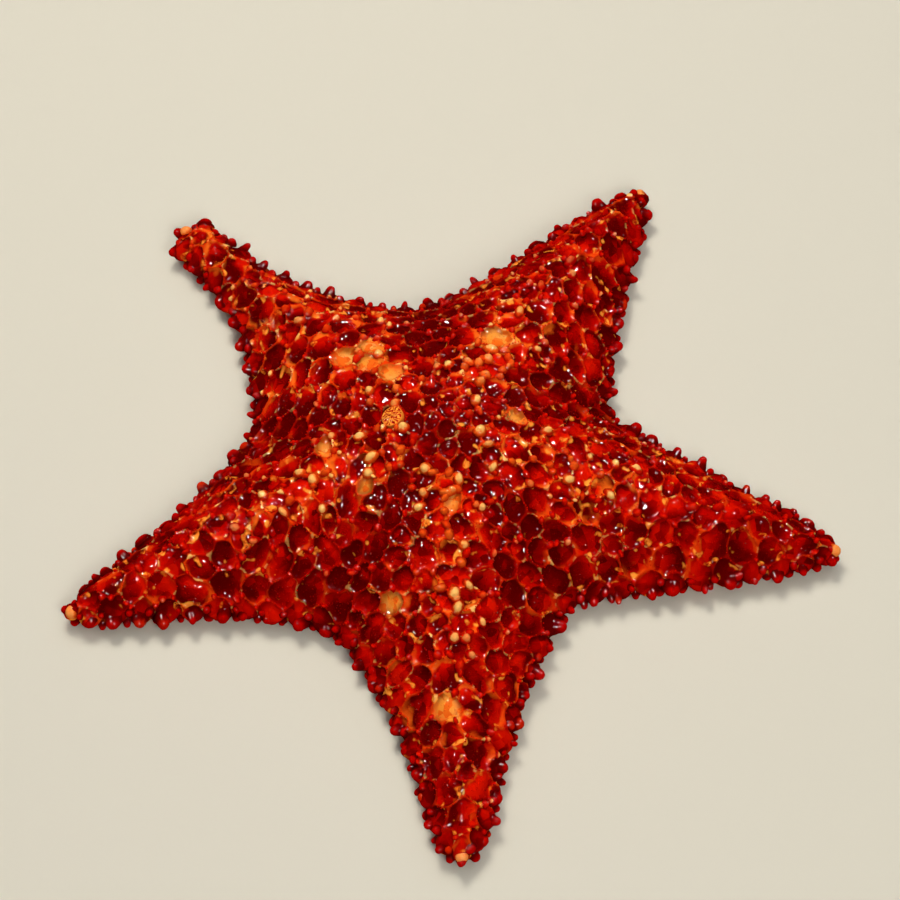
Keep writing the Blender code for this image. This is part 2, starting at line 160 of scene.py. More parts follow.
RIM = rim_points(RIM_SAMPLES)
RIM_OUT = outward(RIM)
RIM_STEP = np.linalg.norm(RIM[1] - RIM[0])
print(f"the rim is {RIM_SAMPLES * RIM_STEP * 1000:.0f} mm round, with a plate every "
      f"{RIM_SAMPLES * RIM_STEP / RIM_PLATES * 1000:.1f} mm")

# %% [markdown]
# ## The height of the upper side
#
# A cushion star is inflated: its height grows quickly from the rim and slowly on top. A distance to
# the rim has sharp ridges where two sides are equally near, so the distance is softened: every piece
# of the rim pulls with 1 / distance^4, and the sum is turned back into one length. Five shallow
# valleys run out between the arms.

# %% Depth


def in_chunks(work, points, rows=4000):
    """work(points), a few thousand rows at a time, so that its tables fit in memory."""
    return np.concatenate([work(points[i : i + rows]) for i in range(0, len(points), rows)])


def squared_to_rim(points):
    """Squared distances from each point to each sample of the rim."""
    across = points[:, 0, None] - RIM[None, :, 0]
    along = points[:, 1, None] - RIM[None, :, 1]
    return across * across + along * along


def softened_depth(points):
    """(pi / (2 * sum of rim_step / distance^4))^(1/3): near a straight rim, just the distance."""

    def some(chunk):
        """The same for a few thousand points."""
        pull = (RIM_STEP / np.maximum(squared_to_rim(chunk), TINY) ** 2).sum(1)
        return (math.pi / (2 * pull)) ** (1 / 3)

    return in_chunks(some, points)


def rim_distance(points):
    """Plain distance from each point to the nearest sample of the rim."""
    return in_chunks(lambda chunk: np.sqrt(squared_to_rim(chunk).min(1)), points)


DISC_DEPTH = softened_depth(CENTRE)[0]
print(f"the disc's centre lies {DISC_DEPTH * 1000:.0f} mm from the rim, softened")

# %% Height and normals
DISC_HEIGHT = 0.0475
RIM_HEIGHT = 0.0055
SWELL = 0.75
MOST_SWELL = 1.2
FURROW_DEPTH = 0.0028
FURROW_WIDTH = 0.0060
FURROW_START = 0.0200
SLOPE_STEP = 0.0004


def bell(x, width):
    """exp(-(x / width)^2): 1 in the middle, fading to both sides."""
    return np.exp(-((x / width) ** 2))


def valley_azimuths():
    """For each arm in turn, anticlockwise: the azimuths of the valleys on its right and left."""
    axes = sorted((math.radians(arm[0]) % FULL_TURN, name) for name, arm in ARMS.items())
    once_round = [axes[-1][0] - FULL_TURN, *(a for a, _ in axes), axes[0][0] + FULL_TURN]
    return {
        name: ((once_round[i] + a) / 2, (a + once_round[i + 2]) / 2) for i, (a, name) in enumerate(axes)
    }


def off_valley(points):
    """How far each point lies sideways from the nearest line between two arms."""
    radius = np.hypot(points[:, 0], points[:, 1])
    angle = np.arctan2(points[:, 1], points[:, 0])
    found = np.full(len(points), np.inf)
    for _, valley in valley_azimuths().values():
        found = np.minimum(found, radius * np.sin(np.minimum(angle_between(angle, valley), math.pi / 2)))
    return found


def top_height(points):
    """rim height + rise * (depth / disc depth)^swell - furrow depth * bell(sideways, furrow width)."""
    swell = np.clip(softened_depth(points) / DISC_DEPTH, 0, MOST_SWELL) ** SWELL
    radius = np.hypot(points[:, 0], points[:, 1])
    window = np.clip(radius / FURROW_START, 0, 1) ** 2 * np.clip(swell, 0, 1)
    valley = FURROW_DEPTH * window * bell(off_valley(points), FURROW_WIDTH)
    return RIM_HEIGHT + (DISC_HEIGHT - RIM_HEIGHT) * swell - valley


def top_normals(points):
    """Unit normals of the upper side: (-dz/dx, -dz/dy, 1) from small steps, made one long."""
    in_x, in_y = (SLOPE_STEP, 0), (0, SLOPE_STEP)
    rise_x = top_height(points + in_x) - top_height(points - in_x)
    rise_y = top_height(points + in_y) - top_height(points - in_y)
    slope = np.stack([-rise_x, -rise_y, np.full(len(points), 2 * SLOPE_STEP)], 1)
    return slope / np.linalg.norm(slope, axis=1)[:, None]


print(f"the upper side is {top_height(CENTRE)[0] * 1000:.1f} mm high at the disc's centre")

# %% [markdown]
# ## Where a point lies on its arm, and the pose
#
# Colours and details change along an arm, so every point needs its place on the nearest arm: how far
# out, and how far to the left. The sweep into the pose is a sideways shift by that place.

# %% Places on the arms


def arm_axes(azimuth):
    """Unit vectors along an arm and to its left."""
    a = math.radians(azimuth)
    return np.array([math.cos(a), math.sin(a)]), np.array([-math.sin(a), math.cos(a)])


AXES = np.array([arm_axes(arm[0]) for arm in ARMS.values()])  # arm, (along, left), (x, y)
REACHES = np.array([arm[1] for arm in ARMS.values()])
SWEEPS = np.array([arm[3] for arm in ARMS.values()])


def arm_places(plan):
    """(arm number, distance out along it, distance to its left) of each point."""
    angle = np.arctan2(plan[:, 1], plan[:, 0])
    azimuths = np.radians([arm[0] for arm in ARMS.values()])
    arm = angle_between(angle[:, None], azimuths[None, :]).argmin(1)
    return arm, (plan * AXES[arm, 0]).sum(1), (plan * AXES[arm, 1]).sum(1)


def swept(points):
    """Shifts each point to its arm's left by sweep * share^2 of the free length, then to the disc."""
    arm, out, _ = arm_places(points[:, :2])
    share = np.clip((out - SWEEP_FROM) / (REACHES[arm] - SWEEP_FROM), 0, None)
    moved = points.copy()
    moved[:, :2] += (SWEEPS[arm] * share**2)[:, None] * AXES[arm, 1] + DISC_AT
    return moved


def smooth_step(low, high, x):
    """0 below low, 1 above high, and 3t^2 - 2t^3 between."""
    t = np.clip((x - low) / (high - low), 0, 1)
    return t * t * (3 - 2 * t)


# %% [markdown]
# ## The net
#
# The bars form a net of rounded meshes, and three bars meet at every crossing. Such a net grows where
# soft patches press against each other, so it is made the same way. The meshes' middles come first:
# scattered at random, never closer than a mesh is wide, and then pushed apart a little. A lattice would
# give a honeycomb, and a plain scatter would leave slivers. Each marginal plate is the middle of half a
# mesh, cut off by the rim, and the sieve plate has a mesh to itself.

# %% The middles of the meshes
MESH_WIDTH = 0.0093  # from a mesh's middle to the next one's, on the arms
MESH_WIDTH_ON_DISC = 0.0068
DISC_REACH = 0.040
TRIED_PITCH = 0.0020
RIM_MARGIN = 0.0048
WIDTH_SHARES = (0.66, 1.30)  # a mesh's width is this share of the usual one, by chance
CROWDING = 0.78  # the least distance while scattering, as a share of the meshes' widths
PUSH_SHARE = 0.22
PUSH_STEPS = 5
MADREPORITE_AT = (166.0, 0.0150)  # azimuth and distance from the disc's centre
MADREPORITE_RADIUS = 0.0034
SIEVE_MESH_WIDTH = 0.0116
SIEVE_PLAN = MADREPORITE_AT[1] * arm_axes(MADREPORITE_AT[0])[0][None, :]


def lattice_inside(pitch):
    """A triangular lattice of this pitch over the star."""
    most = math.ceil(REACHES.max() / (pitch * math.sqrt(3) / 2))
    i, j = np.meshgrid(np.arange(-most, most + 1), np.arange(-most, most + 1), indexing="ij")
    lattice = np.stack([i + 0.5 * (j % 2), j * math.sqrt(3) / 2], -1).reshape(-1, 2) * pitch
    return lattice[np.hypot(*lattice.T) < rim_radius(np.arctan2(lattice[:, 1], lattice[:, 0]))]


def on_cushion(plan):
    """Plan points lifted onto the plain upper side."""
    return np.column_stack([plan, top_height(plan)])


def mesh_widths(plan, chance):
    """The width on the arms, less on the disc by bell(radius, reach), give or take a third."""
    on_disc = bell(np.hypot(*plan.T), DISC_REACH)
    width = MESH_WIDTH - (MESH_WIDTH - MESH_WIDTH_ON_DISC) * on_disc
    return width * chance.uniform(*WIDTH_SHARES, len(plan))


def scattered_middles(chance):
    """(places, widths): places are tried in random order, and kept if far enough from all before."""
    tried = lattice_inside(TRIED_PITCH)
    tried = tried[rim_distance(tried) > RIM_MARGIN]
    tried = np.concatenate([SIEVE_PLAN, chance.permutation(tried)])
    width = np.append(SIEVE_MESH_WIDTH, mesh_widths(tried[1:], chance))
    solid = on_cushion(tried)
    kept = []
    for i, place in enumerate(solid):
        apart = np.linalg.norm(solid[kept] - place, axis=1)
        if (apart > CROWDING * (width[kept] + width[i]) / 2).all():
            kept.append(i)
    return tried[kept], width[kept]


def pushed_apart(plan, width, walls):
    """Small steps, each away from every neighbour nearer than half of both widths. The first stays."""
    widths = np.append(width, np.full(len(walls), MESH_WIDTH))
    for _ in range(PUSH_STEPS):
        solid = on_cushion(np.concatenate([plan, walls]))
        apart = solid[: len(plan), None] - solid[None]
        distance = np.linalg.norm(apart, axis=2)
        distance[distance == 0] = np.inf
        push = np.clip((width[:, None] + widths) / 2 - distance, 0, None) / distance
        moved = PUSH_SHARE * (apart[:, :, :2] * push[:, :, None]).sum(1)
        plan = plan + np.concatenate([CENTRE, moved[1:]])
    return plan


plates = RIM[:: 2 * RIM_FINENESS]
inner_middles = pushed_apart(*scattered_middles(np.random.default_rng(3)), plates)
middles = np.concatenate([plates, inner_middles])
print(len(inner_middles), "meshes, and", RIM_PLATES, "marginal plates")

# %% [markdown]
# ## Bars and crossings
#
# Triangles that join each middle to its neighbours are called patches here. In the middle of each patch
# three meshes meet, which is a crossing, and a bar runs from there over the middle of each side, its
# gate, to the crossing of the next patch. So every patch is cut into six parts, from a middle to a gate
# and a crossing, and each part has a bar for its outer side.

# %% From patches to the net
MERGE_WITHIN = 1e-7


def triangulated(points, loops):
    """Triangles that fill the first loop and keep every loop's edges, as index triples."""
    edges = [(a, b) for loop in loops for a, b in zip(loop, [*loop[1:], loop[0]])]
    _, _, faces, kept, _, _ = delaunay_2d_cdt([Vector(p) for p in points], edges, [], 1, MERGE_WITHIN)
    return np.array([[kept[i][0] for i in face] for face in faces])


def side_table(triangles):
    """(sides as sorted pairs, for each triangle the numbers of its sides ab, bc and ca)."""
    pairs = np.sort(np.stack([triangles, np.roll(triangles, -1, 1)], -1).reshape(-1, 2), 1)
    sides, number = np.unique(pairs, axis=0, return_inverse=True)
    return sides, number.reshape(-1, 3)


def six_parts(corner, gate, crossing):
    """For each side of a patch: (middle, gate, crossing), and (next middle, crossing, gate)."""
    parts = []
    for side in range(3):
        after = (side + 1) % 3
        parts.append(np.stack([corner[:, side], gate[:, side], crossing], 1))
        parts.append(np.stack([corner[:, after], crossing, gate[:, side]], 1))
    return np.concatenate(parts)


def bars_round(sides, count):
    """For each mesh the numbers of the bars round it, and -1 where it has fewer than the most."""
    mesh, bar = sides.ravel(), np.repeat(np.arange(len(sides)), 2)
    order = np.argsort(mesh, kind="stable")
    mesh, bar = mesh[order], bar[order]
    place = np.arange(len(mesh)) - np.searchsorted(mesh, mesh)
    table = np.full((count, place.max() + 1), -1)
    table[mesh, place] = bar
    return table


patches = triangulated(middles, [list(range(RIM_PLATES))])
sides, side_of = side_table(patches)
step = sides[:, 1] - sides[:, 0]
rim_side = (sides[:, 1] < RIM_PLATES) & ((step == 1) | (step == RIM_PLATES - 1))
gates_from = RIM_NODES + len(inner_middles)
crossings_from = gates_from + (~rim_side).sum()
gate = gates_from + np.cumsum(~rim_side) - 1
gate[rim_side] = np.where(step == 1, 2 * sides[:, 0] + 1, RIM_NODES - 1)[rim_side]
crossing = crossings_from + np.arange(len(patches))
net_plan = np.concatenate([
    RIM[::RIM_FINENESS], inner_middles, middles[sides[~rim_side]].mean(1), middles[patches].mean(1)
])
corner = np.where(patches < RIM_PLATES, 2 * patches, patches + RIM_PLATES)
net_triangles = six_parts(corner, gate[side_of], crossing)
mesh_node = net_triangles[:, 0]
mesh_of = np.where(mesh_node < RIM_NODES, mesh_node // 2, mesh_node - RIM_PLATES)
first, last = np.full(len(sides), len(net_plan)), np.zeros(len(sides), int)
np.minimum.at(first, side_of.ravel(), np.repeat(crossing, 3))
np.maximum.at(last, side_of.ravel(), np.repeat(crossing, 3))
bars = np.stack([first, gate, last], 1)
mesh_bars = bars_round(sides, len(middles))
crossings = net_plan[crossings_from:]
print(len(crossings), "crossings,", len(bars), "bars, at most", mesh_bars.shape[1], "round a mesh")

# %% [markdown]
# ## A fine grid on every part
#
# Each part of a patch is cut into a grid, so the grid's lines run along the bars, and a bar's crest has
# vertices on it all the way. A square grid over the whole star would cut the bars at every angle and
# make them ragged. A grid point is a weighted mean of its triangle's corners. Points on a shared side
# get the same key in both triangles, and are merged by it.

# %% Barycentric grids
EDGE_KEYS = 10**9  # keys below this are of shared sides
STRIPS = 5  # small triangles along each side of a part, and of a triangle of the underside


def weight_grid(strips):
    """(weights, small triangles) of a triangle's grid: all (a, b, c) with a + b + c = strips."""
    a, b = np.meshgrid(np.arange(strips + 1), np.arange(strips + 1), indexing="ij")
    number = np.where(a + b <= strips, np.cumsum((a + b <= strips).ravel()).reshape(a.shape) - 1, -1)
    weights = np.stack([a, b, strips - a - b], -1)[a + b <= strips]
    here, right, up, both = number[:-1, :-1], number[1:, :-1], number[:-1, 1:], number[1:, 1:]
    first = np.stack([here, right, up], -1)[(right >= 0) & (up >= 0)]
    second = np.stack([right, both, up], -1)[both >= 0]
    return weights, np.concatenate([first, second])


def side_keys(first, second, first_weight, strips, total):
    """A number that two triangles find alike for a point on the side that they share."""
    low, high = np.minimum(first, second), np.maximum(first, second)
    low_weight = np.where(first < second, first_weight, strips - first_weight)
    key = (low * total + high) * (strips + 1) + low_weight
    return np.where(low_weight == strips, -1 - low, np.where(low_weight == 0, -1 - high, key))


def grid_keys(triangles, weights, strips, total):
    """Keys of all grid points: inner points have their own, side points the side's."""
    keys = EDGE_KEYS + np.arange(len(triangles) * len(weights)).reshape(len(triangles), -1)
    for corner in range(3):
        after = (corner + 1) % 3
        on_side = weights[:, (corner + 2) % 3] == 0
        first, second = triangles[:, corner, None], triangles[:, after, None]
        keys[:, on_side] = side_keys(first, second, weights[None, on_side, corner], strips, total)
    return keys


print(len(weight_grid(STRIPS)[1]), "small triangles in each part")

# %% One mesh from many grids


class Patchwork:
    """The grids of many net triangles, merged into one mesh where they share a side."""

    def __init__(self, plan, triangles, strips):
        self.strips, self.total = strips, len(plan)
        self.weights, small = weight_grid(strips)
        keys = grid_keys(triangles, self.weights, strips, self.total)
        self.keys, number = np.unique(keys, return_inverse=True)
        self.number = number.reshape(keys.shape)
        self.faces = self.number[:, small].reshape(-1, 3)
        self.share = np.bincount(self.number.ravel(), minlength=len(self.keys))

    def merged(self, values):
        """The mean, over the triangles that share a point, of values given for each grid point."""
        flat = values.reshape(self.number.size, -1)
        sums = [np.bincount(self.number.ravel(), column, len(self.keys)) for column in flat.T]
        return (np.array(sums) / self.share).T.squeeze()

    def rim(self):
        """The numbers of the points along the rim, in order."""
        node = np.repeat(np.arange(RIM_NODES), self.strips)
        step = np.tile(np.arange(self.strips), RIM_NODES)
        keys = side_keys(node, (node + 1) % RIM_NODES, self.strips - step, self.strips, self.total)
        return np.searchsorted(self.keys, keys)


# %% Grids that follow the bars and the rim
CROWDED = 1.6  # the power that draws a part's grid lines towards its bar


def crowded(weights):
    """Weights with the first one raised to a power, so that the grid is finest along the bar."""
    first = weights[:, :1] ** CROWDED
    others = weights[:, 1:] * (1 - first) / np.maximum(1 - weights[:, :1], TINY)
    return np.concatenate([first, others], 1)


def on_rim_side(triangles, weights):
    """(rim place, share of the rim's corners) of each point: a place counts nodes round the rim."""
    place = np.zeros((len(triangles), weights.shape[-2]))
    share = np.zeros_like(place)
    on_rim = triangles < RIM_NODES
    for corner in range(3):
        after = (corner + 1) % 3
        first, second = triangles[:, corner], triangles[:, after]
        side = on_rim[:, corner] & on_rim[:, after] & ((second - first) % RIM_NODES == 1)
        pair = weights[..., corner] + weights[..., after]
        along = first[:, None] + weights[..., after] / np.maximum(pair, TINY)
        place = np.where(side[:, None], along, place)
        share = np.where(side[:, None], pair, share)
    lone = (on_rim.sum(1) == 1)[:, None]
    place = np.where(lone, (triangles * on_rim).sum(1)[:, None], place)
    lone_share = (weights * on_rim[:, None, :]).sum(-1)
    return place, np.where(lone, lone_share, share)


def rounded_to_rim(plan, place, share):
    """Moves points near a straight rim side out to the curved rim, less the further inside they are."""
    low = np.floor(place + TINY)
    sample = place * RIM_FINENESS
    index = np.floor(sample).astype(int)
    part = (sample - index)[..., None]
    curved = RIM[index % RIM_SAMPLES] * (1 - part) + RIM[(index + 1) % RIM_SAMPLES] * part
    node = low.astype(int)
    start = RIM[node * RIM_FINENESS % RIM_SAMPLES]
    end = RIM[(node + 1) * RIM_FINENESS % RIM_SAMPLES]
    straight = start + (place - low)[..., None] * (end - start)
    return plan + (curved - straight) * share[..., None]


# %% [markdown]
# ## The relief of the upper side
#
# The distances from a grid point to the bars round its mesh make one rounded distance: near a bar it is
# the plain distance, and in a corner, where two bars are near, it is less, so that the meshes' corners
# are round. A bar is then a ridge and a crossing a low mound, and between them the skin sinks into a
# crease and bulges again. How far it bulges is each mesh's own: some are slack and hollow, and others
# are full and stand as high as the bars.

# %% Ridges, meshes and bulges
SKIN_DEPTH = 0.0003  # the ridges' crests lie this far inside the solids
PIT_DEPTH = 0.0020
BULGE = 0.0019
RIDGE_WIDTH = 0.00066
NEAREST = 1e-5  # distances to a bar count as at least this
MOUND_WIDTH = 0.0013
MOUND_HEIGHT = 0.85  # of a ridge's
BULGE_FROM, BULGE_TO = 0.0004, 0.0021
FULLNESS_RANGE = (0.0, 1.15)  # each mesh bulges by its own share of the bulge
ROUNDNESS = 3
PLATE_RISE = 0.0022
PLATE_JOINT = 0.0009


def to_segments(points, start, end):
    """Distances from points (t, n, 3) to segments (t, k, 3), as (t, n, k)."""
    along = (end - start)[:, None]
    away = points[:, :, None] - start[:, None]
    share = np.clip((away * along).sum(-1) / (along**2).sum(-1), 0, 1)
    return np.linalg.norm(away - share[..., None] * along, axis=-1)


class Relief:
    """What the net does to points of its triangles, which are given by their weights (sum 1)."""

    def __init__(self, triangles, mesh, weights):
        place = weights @ net_solid[triangles]
        kept = mesh_bars[mesh] >= 0
        start, gate, end = np.moveaxis(net_solid[bars[mesh_bars[mesh]]], 2, 0)
        to_bar = np.minimum(to_segments(place, gate, start), to_segments(place, gate, end))
        nearness = (kept[:, None] / np.maximum(to_bar, NEAREST) ** ROUNDNESS).sum(2)
        self.off_bar = nearness ** (-1 / ROUNDNESS)
        ends = np.concatenate([start, end], 1)[:, None]
        to_crossing = np.linalg.norm(place[:, :, None] - ends, axis=3)
        to_crossing = np.where(np.tile(kept, 2)[:, None], to_crossing, 1).min(2)
        mound = MOUND_HEIGHT * bell(to_crossing, MOUND_WIDTH)
        self.ridge = 1 - (1 - bell(self.off_bar, RIDGE_WIDTH)) * (1 - mound)
        self.middle = smooth_step(BULGE_FROM, BULGE_TO, self.off_bar) * (1 - mound)
        self.fullness = mesh_fullness[mesh][:, None]
        self.rim_place, self.rim_share = on_rim_side(triangles, weights)
        self.plan = rounded_to_rim(place[:, :, :2], self.rim_place, self.rim_share)

    def rise(self):
        """-pit * (1 - ridge) + bulge * fullness * middle, and near the rim the marginal plates."""
        rise = -PIT_DEPTH * (1 - self.ridge) + BULGE * self.fullness * self.middle
        return rise * (1 - self.band()) + self.band() * self.plate_rise()

    def band(self):
        """1 at the rim, falling as the square of the rim corners' share."""
        return self.rim_share**2

    def plate_rise(self):
        """Plate rise * |cos(place * pi / 2)|^0.7 - joint depth: high at each plate's middle."""
        wave = np.abs(np.cos(self.rim_place * math.pi / 2))
        return PLATE_RISE * wave**0.7 - PLATE_JOINT


# %% The relief of every part
PLATE_REACH_RANGE = (0.0002, 0.0018)  # each plate stands out by its own length
JOINT_INSET = 0.0005


def stood_out(place, share):
    """Each plate's own reach times |cos|^0.8 of the place, less an inset, outwards, by the rim's share."""
    reach = plate_reach[np.round(place / 2).astype(int) % RIM_PLATES]
    far = reach * np.abs(np.cos(place * math.pi / 2)) ** 0.8 - JOINT_INSET
    return RIM_OUT[np.round(place * RIM_FINENESS).astype(int) % RIM_SAMPLES] * (far * share)[..., None]


chance = np.random.default_rng(13)
mesh_fullness = chance.uniform(*FULLNESS_RANGE, len(middles))
mesh_fullness[RIM_PLATES] = 0  # under the sieve plate
plate_reach = chance.uniform(*PLATE_REACH_RANGE, RIM_PLATES)
net_solid = on_cushion(net_plan)
upper = Patchwork(net_plan, net_triangles, STRIPS)
upper_relief = Relief(net_triangles, mesh_of, crowded(upper.weights / STRIPS)[None])
print(len(upper.keys), "points and", len(upper.faces), "triangles on top")

# %% [markdown]
# ## Smoothing and lifting the skin
#
# The relief has creases where a mesh's bars are equally far away. A round of averaging with the
# neighbours softens them. The relief then goes onto the plain cushion along its normals, which come
# from the cushion's own faces, and the marginal plates push the rim out.

# %% The upper skin's points


def neighbour_means(values, faces, rounds):
    """Each round replaces half of every value by the mean over the corners of its faces."""
    counts = np.bincount(faces.ravel(), minlength=len(values))
    for _ in range(rounds):
        of_face = np.repeat(values[faces].mean(1), 3)
        values = 0.5 * values + 0.5 * np.bincount(faces.ravel(), of_face, len(values)) / counts
    return values


def point_normals(points, faces):
    """Unit sums of the normals of the faces round each point, weighted by their areas."""
    corners = points[faces]
    across = np.cross(corners[:, 1] - corners[:, 0], corners[:, 2] - corners[:, 0])
    flat = np.repeat(across, 3, axis=0)
    sums = np.stack([np.bincount(faces.ravel(), flat[:, k], len(points)) for k in range(3)], 1)
    return sums / np.linalg.norm(sums, axis=1)[:, None]


upper_plan = upper.merged(upper_relief.plan)
upper_base = on_cushion(upper_plan)
upper_rise = neighbour_means(upper.merged(upper_relief.rise()), upper.faces, 1)
upper_normals = point_normals(upper_base, upper.faces)
upper_points = upper_base + upper_normals * (upper_rise - SKIN_DEPTH)[:, None]
upper_points[:, :2] += upper.merged(stood_out(upper_relief.rim_place, upper_relief.rim_share))
print(f"the relief runs from {upper_rise.min() * 1000:.2f} to {upper_rise.max() * 1000:.2f} mm")

# %% [markdown]
# ## The underside
#
# The underside is flat, and paved with small plates under soft skin. A groove with the tube feet runs
# down the middle of each arm to the mouth, which is a round pit. The grid is made as on top, of other
# corners: a lattice over the flats, two lines beside each groove and one down its middle, and a ring
# round the mouth. The height is a formula of the place, and the plates are the lattice's own cells.

# %% The underside's height
LIFT = 0.0009  # the flats hang this far above the floor, over their spines and pegs
UNDERCUT = 0.0030
UNDER_RIM_HEIGHT = 0.0047
GROOVE_HALF_WIDTH = 0.0036
GROOVE_DEPTH = 0.0053
GROOVE_NARROWING = 0.45
GROOVE_FROM_TIP = 0.0056
GROOVE_END = 0.0016  # a groove runs out over this length
MOUTH_RADIUS = 0.0086
MOUTH_DEPTH = 0.0058


def groove_size(arm, out):
    """(half-width, depth): each times 1 - narrowing * (out / reach)^2, and the depth ends at the tip."""
    share = 1 - GROOVE_NARROWING * (out / REACHES[arm]) ** 2
    end = smooth_step(0, GROOVE_END, REACHES[arm] - GROOVE_FROM_TIP - out)
    return GROOVE_HALF_WIDTH * share, GROOVE_DEPTH * share * end


def under_height(plan):
    """The highest of: flats, chamfer to the rim, groove depth * (1 - x^2), pit depth * (1 - r^3)."""
    arm, out, off = arm_places(plan)
    half_width, depth = groove_size(arm, out)
    groove = depth * np.clip(1 - (off / half_width) ** 2, 0, 1) * (out > 0)
    pit = MOUTH_DEPTH * np.clip(1 - (np.hypot(plan[:, 0], plan[:, 1]) / MOUTH_RADIUS) ** 3, 0, 1)
    chamfer = np.clip(1 - rim_distance(plan) / UNDERCUT, 0, 1) ** 1.5
    rise = np.maximum(np.maximum(groove, pit), (UNDER_RIM_HEIGHT - LIFT) * chamfer)
    return LIFT + rise


def under_roots(plan):
    """Plan points lifted onto the plain underside."""
    return np.column_stack([plan, under_height(plan)])


print(f"the mouth's pit is {(under_height(CENTRE)[0] - LIFT) * 1000:.1f} mm deep")

# %% Corners of the underside
ACTINAL_PITCH = 0.0085
GROOVE_STEP = 0.0080
GROOVE_FROM_MOUTH = 0.0012
MOUTH_RINGS = ((MOUTH_RADIUS, 20), (0.0055, 10))  # radius, and corners on it
CLEAR_OF_GROOVES = 0.45  # the lattice keeps clear by these shares of its pitch
CLEAR_OF_RIM = 0.55


def groove_rings():
    """For each arm, the closed line of points round its groove, and the points down its middle."""
    for arm, (azimuth, reach, _, _) in enumerate(ARMS.values()):
        along, left = arm_axes(azimuth)
        start, end = MOUTH_RADIUS + GROOVE_FROM_MOUTH, reach - GROOVE_FROM_TIP
        u = np.linspace(start, end, round((end - start) / GROOVE_STEP) + 1)
        half_width, _ = groove_size(arm, u)
        middle, side = u[:, None] * along, half_width[:, None] * left
        yield np.concatenate([middle - side, (middle + side)[::-1]]), middle[:-1]


def circle(radius, count):
    """Evenly spaced points of a circle round the disc's centre."""
    return radius * compass(turns(count))


def actinal_lattice():
    """A triangular lattice over the flats, clear of the rim, the grooves and the mouth."""
    lattice = lattice_inside(ACTINAL_PITCH)
    lattice = lattice[rim_distance(lattice) > UNDERCUT + CLEAR_OF_RIM * ACTINAL_PITCH]
    arm, out, off = arm_places(lattice)
    lattice = lattice[np.abs(off) > groove_size(arm, out)[0] + CLEAR_OF_GROOVES * ACTINAL_PITCH]
    return lattice[np.hypot(*lattice.T) > MOUTH_RADIUS + CLEAR_OF_GROOVES * ACTINAL_PITCH]


floor_edge = (RIM - RIM_OUT * UNDERCUT)[:: 2 * RIM_FINENESS]
actinal = actinal_lattice()
mouth_rings = [circle(radius, count) for radius, count in MOUTH_RINGS]
under_corners = [RIM[::RIM_FINENESS], floor_edge, actinal, *mouth_rings, CENTRE]
under_loops = [list(range(RIM_NODES))]
corner_count = sum(len(c) for c in under_corners)
for ring, middle in groove_rings():
    under_corners += [ring, middle]
    under_loops.append(list(range(corner_count, corner_count + len(ring))))
    corner_count += len(ring) + len(middle)
under_plan = np.concatenate(under_corners)
under_triangles = triangulated(under_plan, under_loops)
under = Patchwork(under_plan, under_triangles, STRIPS)
print(len(under_plan), "corners and", len(under.faces), "triangles underneath")

# %% [markdown]
# ## One closed skin
#
# Both grids end on the rim at equally many points. A band of triangles joins them, two for each step,
# so that the skin is one closed surface with no seam.

# %% Joining the two sides
SEAM_WIDTH = 0.0009
SEAM_DEPTH = 0.0004
UNDER_RIM_INSET = 0.0002


def seam_depth(triangles, weights):
    """bell(second nearest corner - nearest corner, width): 1 on a seam between two plates."""
    corners = under_plan[triangles]
    place = weights @ corners
    to_corner = np.linalg.norm(place[:, :, None, :] - corners[:, None, :, :], axis=3)
    near = np.sort(to_corner, axis=2)
    return bell(near[:, :, 1] - near[:, :, 0], SEAM_WIDTH)


under_weights = under.weights[None] / STRIPS
under_place, under_share = on_rim_side(under_triangles, under_weights)
under_flat = rounded_to_rim(under_weights @ under_plan[under_triangles], under_place, under_share)
under_flat = under.merged(under_flat)
under_rim = under.rim()
seams = neighbour_means(under.merged(seam_depth(under_triangles, under_weights)), under.faces, 1)
under_points = under_roots(under_flat)
under_points[:, 2] += SEAM_DEPTH * seams
under_points[:, :2] += under.merged(stood_out(under_place, under_share))
under_points[under_rim, :2] = upper_points[upper.rim(), :2]
under_points[under_rim, :2] -= RIM_OUT[:: RIM_FINENESS // STRIPS] * UNDER_RIM_INSET


def joining_band(above, below):
    """Two triangles for each step round two loops of equally many points."""
    after, after_below = np.roll(above, -1), np.roll(below, -1)
    rows = [(above, below, after), (after, below, after_below)]
    return np.concatenate([np.stack(row, 1) for row in rows])


shift = len(upper_points)
skin_straight = np.concatenate([upper_points, under_points])
skin_faces = np.concatenate(
    [upper.faces, under.faces[:, ::-1] + shift, joining_band(upper.rim(), under_rim + shift)]
)
skin_points = swept(skin_straight)
print(len(skin_faces), "triangles in the skin")

# %% [markdown]
# ## Meshes from arrays
#
# Every piece below goes through one function: points and triangles as arrays, named attributes for
# its material, and if wanted a UV map. The attributes say what the shape knows and a material can't
# find again, such as how high on a ridge a point lies.

# %% The mesh maker
UNWRAP_SPAN = 0.2600  # the unwrap shows this length of the star across one side
UPPER_SHARE = 0.64  # the upper side takes this share of the map's width, and the underside the rest


def unwrap(straight, beneath):
    """The skin's map: each side is laid flat, the upper at the lower left, the under at the top right."""
    size = (1 - UPPER_SHARE) if beneath else UPPER_SHARE
    corner = UPPER_SHARE if beneath else 0.0
    return corner + size * (0.5 + straight[..., :2] / UNWRAP_SPAN)


